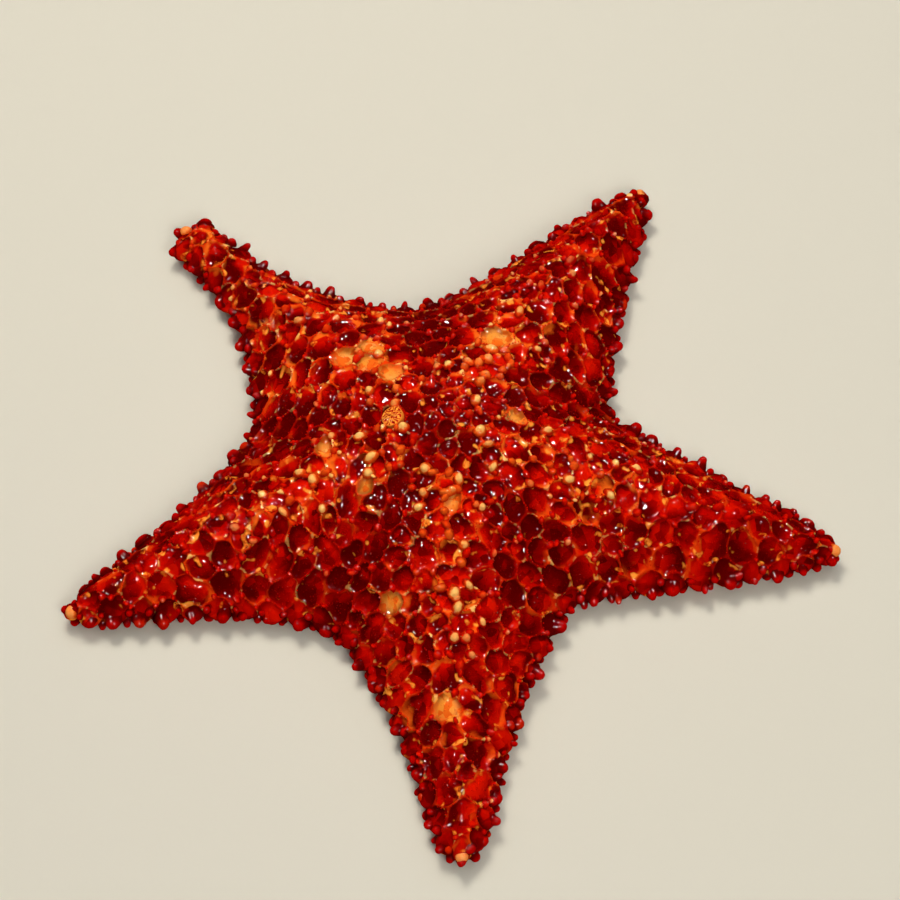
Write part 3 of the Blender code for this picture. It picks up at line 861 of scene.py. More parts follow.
def add_piece(name, points, faces, material, attributes=(), uv=None):
    """Makes the object from arrays, smooth, riding on the body, with its finish's slot."""
    mesh = bpy.data.meshes.new(name)
    mesh.vertices.add(len(points))
    mesh.vertices.foreach_set("co", points.astype(np.float32).ravel())
    mesh.loops.add(faces.size)
    mesh.loops.foreach_set("vertex_index", faces.astype(np.int32).ravel())
    mesh.polygons.add(len(faces))
    mesh.polygons.foreach_set("loop_start", np.arange(0, faces.size, 3, dtype=np.int32))
    mesh.update(calc_edges=True)
    mesh.shade_smooth()
    for key, values in dict(attributes).items():
        layer = mesh.attributes.new(key, "FLOAT", "POINT")
        layer.data.foreach_set("value", np.asarray(values, np.float32).ravel())
    if uv is not None:
        layer = mesh.uv_layers.new(name="OFBake")
        layer.uv.foreach_set("vector", uv.astype(np.float32).ravel())
    mesh.materials.append(material)
    piece = bpy.data.objects.new(name, mesh)
    bpy.context.scene.collection.objects.link(piece)
    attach(piece, "root")
    print(f"{name}: {len(faces)} triangles, down to {1000 * points[:, 2].min():.2f} mm")
    return piece


# %% [markdown]
# ## Writing materials as sums
#
# A material's nodes are easier to read as arithmetic. This small class wraps one socket, and its
# operators add Math nodes, so a mask can be written as 1 - ridge. Colours are mixed with mixed(), as a
# Math node would turn them grey, and any other node comes from node().

# %% Shader arithmetic


class Dye:
    """A socket of a material that is being written."""

    def __init__(self, tree, socket):
        self.tree, self.socket = tree, socket

    def node(self, kind, settings=(), inputs=(), output=0):
        """Adds a node: first its settings, then the values or links of its sockets."""
        made = self.tree.nodes.new(kind)
        for key, value in dict(settings).items():
            setattr(made, key, value)
        for key, value in dict(inputs).items():
            if isinstance(value, Dye):
                self.tree.links.new(value.socket, made.inputs[key])
            else:
                made.inputs[key].default_value = value
        return Dye(self.tree, made.outputs[output])

    def math(self, operation, *values):
        """A Math node of these values."""
        return self.node("ShaderNodeMath", {"operation": operation}, enumerate(values))

    def __add__(self, other):
        return self.math("ADD", self, other)

    __radd__ = __add__

    def __sub__(self, other):
        return self.math("SUBTRACT", self, other)

    def __rsub__(self, other):
        return self.math("SUBTRACT", other, self)

    def __mul__(self, other):
        return self.math("MULTIPLY", self, other)

    __rmul__ = __mul__

    def steep(self, low, high):
        """0 below low, 1 above high, smooth between."""
        inputs = {"Value": self, "From Min": low, "From Max": high}
        return self.node("ShaderNodeMapRange", {"interpolation_type": "SMOOTHSTEP"}, inputs)

    def mixed(self, first, second):
        """The first colour where this value is 0, and the second where it is 1."""
        inputs = {0: self, 6: first, 7: second}
        return self.node("ShaderNodeMix", {"data_type": "RGBA"}, inputs, output=2)

    def attribute(self, name):
        """A number that the mesh has at each point."""
        return self.node("ShaderNodeAttribute", {"attribute_name": name}, output="Fac")

    def place(self):
        """The point's place on its object."""
        return self.node("ShaderNodeTexCoord", output="Object")

    def noise(self, scale, detail=2.0):
        """Smooth noise from 0 to 1, with this many waves in a metre."""
        inputs = {"Vector": self.place(), "Scale": scale, "Detail": detail}
        return self.node("ShaderNodeTexNoise", inputs=inputs)

    def cells(self, scale, output="Distance"):
        """The distance to the nearest of many scattered points, this many to a metre."""
        inputs = {"Vector": self.place(), "Scale": scale}
        return self.node("ShaderNodeTexVoronoi", inputs=inputs, output=output)

    def shards(self, scale):
        """A random number for each of the small angular cells round such points."""
        return self.cells(scale, "Color")

    def bumped(self, strength, distance):
        """A normal from this height."""
        inputs = {"Height": self, "Strength": strength, "Distance": distance}
        return self.node("ShaderNodeBump", inputs=inputs)


# %% A new finish


def new_finish(name, fixed):
    """(material, a Dye to start from, a function that links values to the shader's sockets)."""
    made = bpy.data.materials.new(name)
    made.use_nodes = True
    shader = made.node_tree.nodes["Principled BSDF"]
    for key, value in fixed.items():
        shader.inputs[key].default_value = value

    def finish(**links):
        """Each value goes to the socket of its name, and the material comes back."""
        for key, dye in links.items():
            made.node_tree.links.new(dye.socket, shader.inputs[key.replace("_", " ")])
        return made

    return Dye(made.node_tree, None), finish


# %% [markdown]
# ## The colours of the body wall
#
# The skin is deep maroon to scarlet in the soft meshes. Each mesh has a shade of its own and breaks into
# small angular facets. Light and shade are painted on it as well: each mesh is painted lighter to one side
# and darker to the other, a full mesh brighter in its middle and a slack one darker, and the valleys
# between the arms darker. Orange lies in crescents along one side of the meshes' edges, which are painted
# light, in chips and in thin lines on the bars, most of all where the tubercles crowd near the disc, and a
# few meshes are amber. One noise over everything would look like rust, so each of these is a mask with a
# reason: an attribute of the shape, sharpened, times a little noise. The star is wet in specks, so a clear
# coat shines only where a fine noise is high.

# %% The body wall's finish
MAROON = (0.100, 0.0001, 0.0001, 1)
BLOOD_RED = (0.42, 0.0008, 0.0002, 1)
SCARLET = (0.62, 0.0060, 0.0004, 1)
VERMILION = (0.76, 0.045, 0.002, 1)
ORANGE = (0.90, 0.15, 0.010, 1)
AMBER = (0.93, 0.30, 0.030, 1)
STRAW = (0.93, 0.48, 0.120, 1)
CREAM = (0.78, 0.38, 0.13, 1)
WET = {"Coat Weight": 0.35, "Coat Roughness": 0.05, "Coat IOR": 1.33, "Specular IOR Level": 0.0}
WALL_NAMES = ("ridge", "middle", "shade", "full", "lean", "pale", "glow", "valley")
MOTTLE = (420.0, 3.0)  # scale and detail of the finest blotches on the skin
CLOUD = (150.0, 1.0)  # of blotches about as wide as a mesh
DRIFT = (120.0, 1.5)  # and of wider ones


def wall_colour(dye):
    """Red skin with painted light and shade, then orange, amber and lines laid over it in turn, each by a
    mask from 0 to 1; the orange crescents are painted light.
    """
    ridge, middle, shade, full, lean, pale, glow, valley = (dye.attribute(name) for name in WALL_NAMES)
    mottle, cloud, drift = dye.noise(*MOTTLE), dye.noise(*CLOUD), dye.noise(*DRIFT)
    # The red of each mesh, by its own random shade, in the glow and facet by facet, with painted light and
    # shade:
    # a full mesh brighter in its middle and a slack one darker, each mesh lighter to one side and darker to
    # the other, and the valleys between the arms darker.
    facets_and_painted_light = 0.5 * middle * (full - 0.45) + 0.50 * lean + 0.80 * (dye.shards(330.0) - 0.5)
    fullness = 0.35 * shade + 1.1 * cloud + 0.3 * mottle + facets_and_painted_light - 0.47 - 0.45 * valley + 0.10 * glow
    skin = fullness.steep(0.0, 0.9).mixed(MAROON, BLOOD_RED)
    bright = 0.4 * shade + 0.3 * glow + cloud + facets_and_painted_light + 0.08 - 0.45 * valley
    skin = bright.steep(1.0, 1.6).mixed(skin, SCARLET)
    # Wide orange flares, and orange crescents along one side of a mesh's edge, which are painted light. Both
    # fade in the valleys between the arms, as painted shade.
    flare = 6.0 * drift - 3.78 - 0.7 * middle + 0.45 * glow - 0.6 * valley + 0.5 * mottle
    warm = (0.8 * glow + 0.9 * mottle - 0.25).steep(0.05, 0.75).mixed(VERMILION, ORANGE)
    skin = (flare.steep(0.05, 0.9) * (0.45 + 0.55 * glow)).mixed(skin, warm)
    painted_light_crescent = ((1 - middle) * (lean - 0.30)).steep(0.12, 0.40) * cloud.steep(0.46, 0.62)
    skin = (painted_light_crescent * (0.60 + 0.4 * glow - 0.4 * valley)).mixed(skin, warm)
    # Pale meshes, in facets of orange, amber and straw.
    sandy = cloud.steep(0.40, 0.80).mixed(AMBER, STRAW)
    sandy = dye.shards(450.0).steep(0.30, 0.48).mixed(ORANGE, sandy)
    skin = (pale * (0.25 + 0.65 * middle)).mixed(skin, sandy)
    # Small chips of orange and amber, mostly off the meshes' middles, a little fewer in the valleys as
    # painted shade.
    chips = (dye.noise(290.0, 0.5) + 0.04 * glow - 0.05 * valley - 0.09 * middle).steep(0.62, 0.70)
    skin = (chips * mottle.steep(0.30, 0.55)).mixed(skin, mottle.steep(0.4, 0.6).mixed(ORANGE, AMBER))
    # Thin lines on the bars' crests, with stretches of straw, less warm in the valleys between the arms as
    # painted shade.
    warmth = (0.8 * glow - 0.6 * valley + 4.0 * drift - 2.1 + 0.3 * mottle).steep(0.0, 0.9)
    crest = (ridge + 0.3 * mottle - 0.15).steep(0.62, 0.96)
    line = warmth.mixed(SCARLET, VERMILION)
    line = (dye.noise(340.0, 1.0) + 0.03 * glow).steep(0.585, 0.67).mixed(line, STRAW)
    return (crest * (0.35 + 0.65 * warmth)).mixed(skin, line)


def body_wall():
    """The wall's colour above and cream beneath, with a fine grain, wet in specks under a millimetre."""
    dye, finish = new_finish("red_body_wall", WET)
    mottle = dye.noise(*MOTTLE)
    under = (dye.attribute("seam") * 0.8 + 0.3 * mottle).steep(0.2, 0.9).mixed(CREAM, ORANGE)
    grain = dye.noise(2600.0, 2.0) * 0.5 + dye.cells(1700.0) * 0.5
    return finish(
        Base_Color=dye.attribute("beneath").mixed(wall_colour(dye), under),
        Coat_Weight=0.80 * dye.noise(950.0, 1.0).steep(0.52, 0.58),
        Roughness=0.30 + 0.25 * mottle,
        Normal=grain.bumped(0.30, 0.0002),
    )


# %% Where the skin is warm, and where shade is painted in the valleys
GLOW_FROM, GLOW_UNTIL = (0.004, 0.014), (0.032, 0.088)  # it comes and goes over these distances out
GLOW_WIDTH = 0.0135
TIP_GLOW = 0.8
TIP_GLOW_FROM, TIP_GLOW_TO = 0.010, 0.002  # before the arm's end
ARM_WARMTH = np.array([0.60, 0.05, 0.05, 0.22, 0.10])  # the least glow on each arm, as listed in ARMS
ARM_WARMTH_FROM = (0.020, 0.050)
VALLEY_SHADE_WIDTH = 0.009


def valley_shade_at(plan):
    """bell(sideways, width): 1 along the line between two arms, where the wall's colour is painted darker, as
    shade.
    """
    return bell(off_valley(plan), VALLEY_SHADE_WIDTH)


def glow_at(plan):
    """The most of bell(sideways, width) along the ridges near the disc, the tips' and the arm's own."""
    arm, out, off = arm_places(plan)
    near_disc = smooth_step(*GLOW_FROM, out) * (1 - smooth_step(*GLOW_UNTIL, out))
    at_tip = TIP_GLOW * smooth_step(REACHES[arm] - TIP_GLOW_FROM, REACHES[arm] - TIP_GLOW_TO, out)
    all_over = ARM_WARMTH[arm] * smooth_step(*ARM_WARMTH_FROM, out) * (1 - valley_shade_at(plan))
    return np.maximum.reduce([near_disc * bell(off, GLOW_WIDTH), at_tip, all_over])


glowing_meshes = glow_at(middles)
print(f"{(glowing_meshes > 0.5).sum()} meshes glow by more than half")

# %% What the skin knows
PALE_SHARE = 0.09
PALE_ANYWHERE = 0.003
PALE_PATCH_AT = (129.0, 0.0350)  # the far left arm has a patch of pale meshes on its root
PALE_PATCH_RADIUS = 0.0080
PALE_PATCH_SHARE = 0.85
SIDE_LIGHT_WIDTH = 0.45 * MESH_WIDTH
BENEATH_UP_TO = (0.0012, 0.0040)  # the cream of the underside gives way to red over these heights


def mesh_numbers():
    """For each net triangle: its mesh's random shade, and whether it is pale, likelier in the patch."""
    chance = np.random.default_rng(11)
    shade = chance.random(len(middles))
    patch = PALE_PATCH_AT[1] * arm_axes(PALE_PATCH_AT[0])[0]
    in_patch = np.exp(-((np.hypot(*(middles - patch).T) / PALE_PATCH_RADIUS) ** 4))
    share = PALE_SHARE * glowing_meshes**2 + PALE_ANYWHERE + PALE_PATCH_SHARE * in_patch
    pale = chance.random(len(middles)) < share
    return shade[mesh_of], pale[mesh_of].astype(float)


def mesh_side_light_and_shade():
    """Distance from the mesh's middle along the mesh's own random direction, over the width; the wall's
    colour paints light and shade by it, lighter to one side of each mesh and darker to the other.
    """
    turn = np.random.default_rng(12).uniform(0, FULL_TURN, len(middles))
    side = compass(turn)[mesh_of]
    return ((upper_relief.plan - middles[mesh_of][:, None]) * side[:, None]).sum(2) / SIDE_LIGHT_WIDTH


def on_grid(per_triangle):
    """Spreads one number for each net triangle over the upper side's points."""
    return upper.merged(np.repeat(per_triangle, len(upper.weights)))


mesh_shade, mesh_pale = mesh_numbers()
above_only = {
    "ridge": neighbour_means(upper.merged(upper_relief.ridge), upper.faces, 1),
    "middle": upper.merged(upper_relief.middle),
    "shade": on_grid(mesh_shade),
    "pale": on_grid(mesh_pale),
    "full": on_grid(mesh_fullness[mesh_of]),
    # lean: each mesh's colour is painted lighter to one side and darker to the other by it, as light and
    # shade
    "lean": upper.merged(mesh_side_light_and_shade()),
}
below_only = {"seam": seams, "beneath": 1 - smooth_step(*BENEATH_UP_TO, under_points[:, 2])}
# the valley attribute says where painted shade darkens the wall between the arms
skin_knows = {"glow": glow_at(skin_straight[:, :2]), "valley": valley_shade_at(skin_straight[:, :2])}
skin_knows |= {name: np.append(values, np.zeros(len(under_points))) for name, values in above_only.items()}
skin_knows |= {name: np.append(np.zeros(shift), values) for name, values in below_only.items()}
print("the skin knows its", ", ".join(skin_knows))

# %% The skin
from_below = (np.arange(len(skin_faces)) >= len(upper.faces))[:, None, None]
skin_corners = skin_straight[skin_faces]
skin_uv = np.where(from_below, unwrap(skin_corners, True), unwrap(skin_corners, False))
skin = add_piece("body_skin", skin_points, skin_faces, body_wall(), skin_knows, skin_uv)
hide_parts("disc", *(f"arm_{name}" for name in ARMS))

# %% [markdown]
# ## Studs
#
# Tubercles, granules, spines and feet are all the same idea: one small turned shape that stands many
# times on the skin. Instances would be lost when the model leaves Blender, so the copies are real
# geometry, joined into one mesh and worked out as one table: every copy times every point. Each copy
# has its own small round patch in the UV map, at the place of its root.

# %% Turned shapes


def tube_faces(rows, columns, closed=False):
    """Triangles of a grid whose columns close up, and whose rows do too if it is closed."""
    row, column = np.meshgrid(np.arange(rows if closed else rows - 1), np.arange(columns), indexing="ij")
    above, after = (row + 1) % rows * columns, (column + 1) % columns
    low, high = row * columns, above
    first = np.stack([low + column, low + after, high + after], -1)
    second = np.stack([low + column, high + after, high + column], -1)
    return np.concatenate([first.reshape(-1, 3), second.reshape(-1, 3)])


def capped_faces(rows, columns):
    """A tube's triangles and two fans: the pole after the last ring closes the first, the next the last."""
    this, after = np.arange(columns), (np.arange(columns) + 1) % columns
    last = (rows - 1) * columns
    bottom = np.stack([after, this, np.full(columns, rows * columns)], 1)
    top = np.stack([last + this, last + after, np.full(columns, rows * columns + 1)], 1)
    return np.concatenate([bottom, tube_faces(rows, columns), top])


class Turned:
    """A closed turned shape: rings of (radius, height), a pole under the first and over the last."""

    def __init__(self, rings, tip, sides):
        rings = np.array(rings, float)
        spokes = compass(turns(sides))
        level = np.repeat(rings[:, 1], sides)[:, None]
        wall = np.concatenate([(rings[:, 0, None, None] * spokes).reshape(-1, 2), level], 1)
        self.points = np.concatenate([wall, [[0, 0, rings[0, 1]]], [[0, 0, tip]]])
        inward = np.linspace(1, 0, len(rings) + 1)[:-1, None, None]
        disc = np.concatenate([(inward * spokes).reshape(-1, 2), [[0, 0], [0, 0]]])
        self.faces = capped_faces(len(rings), sides)
        self.disc = disc[self.faces]
        self.disc[:sides, 2] = self.disc[:sides, :2].mean(1)
        self.tip = np.clip(self.points[:, 2] / tip, 0, 1)


# %% Their copies
PATCH = 0.0030  # a copy's patch in the UV map is this wide


def frames(axes, angles):
    """Two unit vectors across each axis, turned round it."""
    reference = np.where(np.abs(axes[:, 2:]) < 0.9, [[0.0, 0.0, 1.0]], [[1.0, 0.0, 0.0]])
    side = np.cross(reference, axes)
    side /= np.linalg.norm(side, axis=1)[:, None]
    other = np.cross(axes, side)
    cos, sin = np.cos(angles)[:, None], np.sin(angles)[:, None]
    return cos * side + sin * other, cos * other - sin * side


def unit(vectors):
    """Each vector over its length."""
    return vectors / np.linalg.norm(vectors, axis=-1, keepdims=True)


class Studs:
    """Copies of a turned shape on roots, along axes, with widths across and lengths along them."""

    def __init__(self, shape, roots, axes, widths, lengths, chance,
                 patch=PATCH, oblong=0.0, rough=0.0, beneath=False):
        count = len(roots)
        side, other = frames(axes, chance.random(count) * FULL_TURN)
        stretch = 1 + oblong * chance.random(count)[:, None]
        across = widths[:, None] * stretch * side, widths[:, None] / stretch * other
        x, y, z = shape.points.T[:, None, :, None]
        worn = 1 + rough * chance.uniform(-1, 1, (count, len(shape.points), 1))
        points = (x * across[0][:, None] + y * across[1][:, None]) * worn
        points = roots[:, None] + points + z * (lengths[:, None] * axes)[:, None]
        self.straight = points.reshape(-1, 3)
        first = (np.arange(count) * len(shape.points))[:, None, None]
        self.faces = (shape.faces[None] + first).reshape(-1, 3)
        self.knows = {"tip": np.tile(shape.tip, count)}
        self.each = len(shape.points)
        root_uv = unwrap(roots, beneath)[:, None, None]
        self.uv = (root_uv + 0.5 * patch * shape.disc[None]).reshape(-1, 3, 2)

    def tell(self, **numbers):
        """Gives every point of a copy the copy's own number."""
        self.knows.update({name: np.repeat(values, self.each) for name, values in numbers.items()})
        return self

    def placed(self, name, material, slot="body_wall"):
        """Makes the piece, swept into the pose."""
        add_piece(name, swept(self.straight), self.faces, material, self.knows, self.uv)


# %% [markdown]
# ## Tubercles
#
# About half of the net's crossings carry a blunt limy tubercle, and more of them near the disc. They are
# largest along the arms' ridges and smallest near the rim. Chance decides how far each is worn: the
# large ones tend to be bare and straw yellow, most of all near the disc, and the small ones red. They
# could be one height each, but a little chance in size, lean and roundness makes them look grown.

# %% The studs' finish


def stud_finish(name, low, high, tip, warm=None, tip_from=0.35, bump=0.35):
    """From the low colour at the root to the high one, warmer by the glow, and the tip's where bare."""
    dye, finish = new_finish(name, WET)
    height, tone, glow = (dye.attribute(key) for key in ("tip", "tone", "glow"))
    mottle = dye.noise(900.0, 3.0)
    flank = (0.8 * glow + 0.8 * tone - 0.7).steep(0.05, 0.8).mixed(high, warm or high)
    body = (height + 0.5 * mottle - 0.25 + 0.35 * glow).steep(0.05, 0.85).mixed(low, flank)
    bare = (height + 0.7 * mottle - 0.35).steep(tip_from - 0.1, tip_from + 0.35)
    pale = (0.5 * tone + mottle - 0.35).steep(0.1, 0.6).mixed(warm or tip, tip)
    colour = (bare * (tone + 0.35 * glow).steep(0.90, 1.15)).mixed(body, pale)
    grain = dye.noise(3200.0, 2.0) * 0.3 + dye.cells(1900.0) * 0.7
    return finish(
        Base_Color=colour,
        Roughness=0.28 + 0.22 * mottle,
        Normal=grain.bumped(bump, 0.0003),
    )


tubercle_finish = stud_finish("tubercles_red_to_straw", BLOOD_RED, SCARLET, STRAW, ORANGE, tip_from=0.25)

# %% Tubercles on the crossings
FULL_SIZE_FROM = 0.0140
RIDGE_TOP_WIDTH = 0.006
TUBERCLE_SHARE = 0.44  # of the crossings carry one on the arms
TUBERCLE_SHARE_NEAR_DISC = 0.18  # of them more, by the glow
TUBERCLE_RADIUS = 0.0017
TUBERCLE_HEIGHT = 0.0018
BLUNT = Turned(
    [(1.40, -0.45), (1.18, -0.02), (0.92, 0.22), (0.74, 0.46), (0.58, 0.70), (0.42, 0.88), (0.20, 0.97)],
    tip=1.0,
    sides=12,
)


def crossing_sizes(plan, tone):
    """(0.42 + 0.73 tone) * (0.60 + 0.2 on a ridge's top + 0.15 glow), and down to 0.7 of it at the rim."""
    _, _, off = arm_places(plan)
    on_ridge = bell(off, RIDGE_TOP_WIDTH)
    grown = 0.60 + 0.2 * on_ridge + 0.15 * glow_at(plan)
    size = np.clip(rim_distance(plan) / FULL_SIZE_FROM, 0.7, 1) * grown
    return size * (0.42 + 0.73 * tone)


def on_top(plan, depth):
    """(points this deep under the solids' upper side, normals there) of plan points."""
    normals = top_normals(plan)
    return on_cushion(plan) - depth * normals, normals


def leaning(axes, most, chance):
    """Axes tilted at random by up to this much."""
    return unit(axes + most * chance.uniform(-1, 1, axes.shape))


chance = np.random.default_rng(21)
glow = glow_at(crossings)
carries = chance.random(len(crossings)) < TUBERCLE_SHARE + TUBERCLE_SHARE_NEAR_DISC * glow
at = crossings[carries]
roots, normals = on_top(at, SKIN_DEPTH)
tone = chance.random(len(at))
size = crossing_sizes(at, tone)
wide, tall = TUBERCLE_RADIUS * size, TUBERCLE_HEIGHT * size * chance.uniform(0.8, 1.2, len(size))
tubercles = Studs(BLUNT, roots, leaning(normals, 0.14, chance), wide, tall, chance,
                  patch=0.008, oblong=0.30, rough=0.12)
tubercles.tell(tone=tone, glow=glow[carries])
tubercles.placed("tubercles", tubercle_finish)

# %% Smaller tubercles on the bars
MIDWAY_SHARE = 0.06
MIDWAY_SHARE_NEAR_DISC = 0.12


def along_bars(chosen, shares):
    """Plan points at these shares of the way along the chosen bars, crossing to gate to crossing."""
    start, gate, end = np.moveaxis(net_plan[bars[chosen]], 1, 0)
    to_gate, past_it = np.clip(2 * shares, 0, 1)[:, None], np.clip(2 * shares - 1, 0, 1)[:, None]
    return start + to_gate * (gate - start) + past_it * (end - gate)


kept_bars = np.flatnonzero(~rim_side)
bar_middles = along_bars(kept_bars, np.full(len(kept_bars), 0.5))
glowing = glow_at(bar_middles)
wanted = chance.random(len(kept_bars)) < MIDWAY_SHARE + MIDWAY_SHARE_NEAR_DISC * glowing
at = along_bars(kept_bars[wanted], chance.uniform(0.40, 0.60, wanted.sum()))
roots, normals = on_top(at, SKIN_DEPTH)
wide = chance.uniform(0.0006, 0.0010, len(at)) * (1 + 0.25 * glowing[wanted])
small = Studs(BLUNT, roots, leaning(normals, 0.20, chance), wide, 1.15 * wide, chance,
              patch=0.005, oblong=0.35, rough=0.12)
small.tell(tone=chance.random(len(at)), glow=glowing[wanted])
small.placed("small_tubercles", tubercle_finish)

# %% [markdown]
# ## The rim
#
# Two rows of marginal plates run all round, one over the other. Each upper plate carries a blunt spine
# that stands outwards, and smaller spines stand over and under the joints. No two are alike, and they
# give the star its ragged, toothed outline.

# %% Marginal spines
SPINE = Turned(
    [(1.40, -0.50), (1.22, -0.10), (1.04, 0.20), (0.90, 0.50), (0.72, 0.76), (0.48, 0.93), (0.24, 0.99)],
    tip=1.02,
    sides=12,
)


def rim_spines(samples, inset, height, rise, wide, tall, chance):
    """Spines at samples of the rim: roots inset and raised, axes outwards and up by the rise."""
    samples = samples % RIM_SAMPLES
    out = RIM_OUT[samples]
    roots = np.column_stack([RIM[samples] - inset[:, None] * out, height])
    axes = unit(np.column_stack([out, rise]))
    studs = Studs(SPINE, roots, leaning(axes, 0.22, chance), wide, tall, chance,
                  patch=0.006, oblong=0.16, rough=0.07)
    return studs.tell(tone=chance.random(len(samples)), glow=np.zeros(len(samples)))


marginal_finish = stud_finish("marginal_spines_red", MAROON, BLOOD_RED, VERMILION, SCARLET, tip_from=0.3)
WANDER = 3  # samples of the rim by which a spine may miss its plate's middle
SPINE_ROWS = {  # on a plate (0) or a joint (1); middle and spread of inset, height, rise, width, length
    "upper": (0, (0.0010, 0.0003), (0.0060, 0.0004), (0.35, 0.20), (0.00180, 0.00065), (0.0022, 0.0011)),
    "second": (1, (0.0014, 0.0006), (0.0078, 0.0008), (0.9, 0.4), (0.00125, 0.00035), (0.0015, 0.0005)),
    "lower": (1, (0.0008, 0.0003), (0.0036, 0.0002), (-0.22, 0.10), (0.00140, 0.00030), (0.0018, 0.0005)),
}


def around(middle, spread, chance):
    """A number for each plate, within this spread of the middle."""
    return chance.uniform(middle - spread, middle + spread, RIM_PLATES)


def wandering(on_joint, chance):
    """Each plate's middle, or the joint after it, as a sample of the rim, give or take the wander."""
    middle = np.arange(RIM_PLATES) * 2 * RIM_FINENESS + on_joint * RIM_FINENESS
    return middle + chance.integers(-WANDER, WANDER + 1, RIM_PLATES)


chance = np.random.default_rng(31)
for row, (on_joint, *sizes) in SPINE_ROWS.items():
    samples = wandering(on_joint, chance)
    inset, height, rise, wide, tall = (around(*size, chance) for size in sizes)
    if not on_joint:
        inset = inset - plate_reach
    spines = rim_spines(samples, inset, height, rise, wide, tall, chance)
    spines.placed(f"marginal_spines_{row}", marginal_finish)

# %% [markdown]
# ## Granules and gills
#
# Under a lens the bars are covered with granules, and the soft skin of the meshes with papulae, the
# small soft gills that the star breathes with. There are thousands of each, so each has only a few
# faces. The granules sit along the bars, and the gills are scattered over the faces of the meshes.

# %% Granules along the bars
GRANULE = Turned([(1.0, -0.5), (0.95, 0.25), (0.60, 0.80)], tip=1.0, sides=6)
GRANULES_PER_BAR = 5
GRANULE_SHARE = 0.40  # of those places are taken on the arms, and nearly all near the disc
GRANULE_ASIDE = 0.0004  # a granule lies at most this far beside its bar's middle line
granule_finish = stud_finish(
    "granules_scarlet", BLOOD_RED, SCARLET, ORANGE, VERMILION, tip_from=0.3, bump=0.2
)
chance = np.random.default_rng(41)
on_bar = np.repeat(kept_bars, GRANULES_PER_BAR)
step = np.tile(np.linspace(0.20, 0.80, GRANULES_PER_BAR), len(kept_bars))
share = GRANULE_SHARE + (1 - GRANULE_SHARE) * np.repeat(glowing, GRANULES_PER_BAR)
wanted = chance.random(len(on_bar)) < share
on_bar, step = on_bar[wanted], step[wanted]
bar_way = net_plan[bars[on_bar, 2]] - net_plan[bars[on_bar, 0]]
bar_side = unit(np.stack([-bar_way[:, 1], bar_way[:, 0]], 1))
aside = chance.uniform(-GRANULE_ASIDE, GRANULE_ASIDE, len(on_bar))
at = along_bars(on_bar, step + chance.uniform(-0.03, 0.03, len(on_bar))) + aside[:, None] * bar_side
roots, normals = on_top(at, SKIN_DEPTH + 0.35 * np.abs(aside)[:, None])
wide = chance.uniform(0.00017, 0.00030, len(at))
granules = Studs(GRANULE, roots, normals, wide, 0.8 * wide, chance)
granules.tell(tone=chance.random(len(at)) * 0.7, glow=glow_at(at) * 0.8)
granules.placed("granules", granule_finish)

# %% Gills in the meshes
GILL = Turned([(1.0, -0.6), (0.85, 0.5)], tip=1.0, sides=6)
GILL_COUNT = 6000
GILLS_OFF_BARS = 0.35  # least middle attribute, and below it least share away from the rim
GILLS_OFF_RIM = 0.9


def scattered(allowed, count, chance):
    """Random places on the upper skin, by area times what is allowed: (points, normals, faces)."""
    corners = skin_straight[upper.faces]
    across = np.cross(corners[:, 1] - corners[:, 0], corners[:, 2] - corners[:, 0])
    area = np.linalg.norm(across, axis=1) * allowed
    face = chance.choice(len(area), count, p=area / area.sum())
    a, b = np.sqrt(chance.random(count)), chance.random(count)
    weights = np.stack([1 - a, a * (1 - b), a * b], 1)[:, :, None]
    return (corners[face] * weights).sum(1), unit(across[face]), face


chance = np.random.default_rng(51)
face_middle = skin_knows["middle"][upper.faces].mean(1)
off_band = 1 - upper.merged(upper_relief.band())[upper.faces].mean(1)
allowed = (face_middle > GILLS_OFF_BARS) * (off_band > GILLS_OFF_RIM)
roots, normals, face = scattered(allowed, GILL_COUNT, chance)
wide = chance.uniform(0.00016, 0.00028, GILL_COUNT)


def gill_finish():
    """The colour of the wall around it, a little brighter towards the tip."""
    dye, finish = new_finish("gills_red", {**WET, "Roughness": 0.4})
    return finish(Base_Color=(0.25 * dye.attribute("tip")).mixed(wall_colour(dye), SCARLET))


gills = Studs(GILL, roots, leaning(normals, 0.3, chance), wide, wide * 1.5, chance)
gills.tell(**{name: skin_knows[name][upper.faces[face, 0]] for name in WALL_NAMES})
gills.placed("gills", gill_finish())

# %% [markdown]
# ## The tips of the arms
#
# Each arm ends in one terminal plate, a smooth knob that grew there first and was pushed outwards ever
# since. Under it, at the end of the groove, sits the eyespot: a red cushion of tiny eye cups.

# %% Terminal plates
KNOB = Turned(
    [(0.95, -0.60), (1.00, -0.20), (1.00, 0.15), (0.92, 0.45), (0.74, 0.72), (0.44, 0.92), (0.20, 0.985)],
    tip=1.0,
    sides=20,
)
KNOB_INSET = 0.0014
KNOB_HEIGHT = 0.0066
KNOB_RISE = 0.55
KNOB_RADIUS, KNOB_LENGTH = 0.0021, 0.0027


def at_tips(value):
    """The same number for each arm's tip."""
    return np.full(len(ARMS), value)


tips = np.array([(RIM @ along).argmax() for along, _ in AXES])
chance = np.random.default_rng(61)
roots = np.column_stack([RIM[tips] - KNOB_INSET * RIM_OUT[tips], at_tips(KNOB_HEIGHT)])
axes = unit(np.column_stack([RIM_OUT[tips], at_tips(KNOB_RISE)]))
knobs = Studs(KNOB, roots, axes, at_tips(KNOB_RADIUS), at_tips(KNOB_LENGTH), chance,
              patch=0.012, oblong=0.1, rough=0.02)
knobs.tell(tone=at_tips(0.7), glow=at_tips(0.9))
knobs.placed("terminal_plates", tubercle_finish)

# %% Eyespots
EYE_CUPS = (9, 6)  # round the cushion, and from its foot to its top
EYE_CUP_DEPTH = 0.10
EYE_ROWS, EYE_COLUMNS = 26, 54
EYE_POLE = 0.92
EYE_RED = (0.75, 0.006, 0.012, 1)


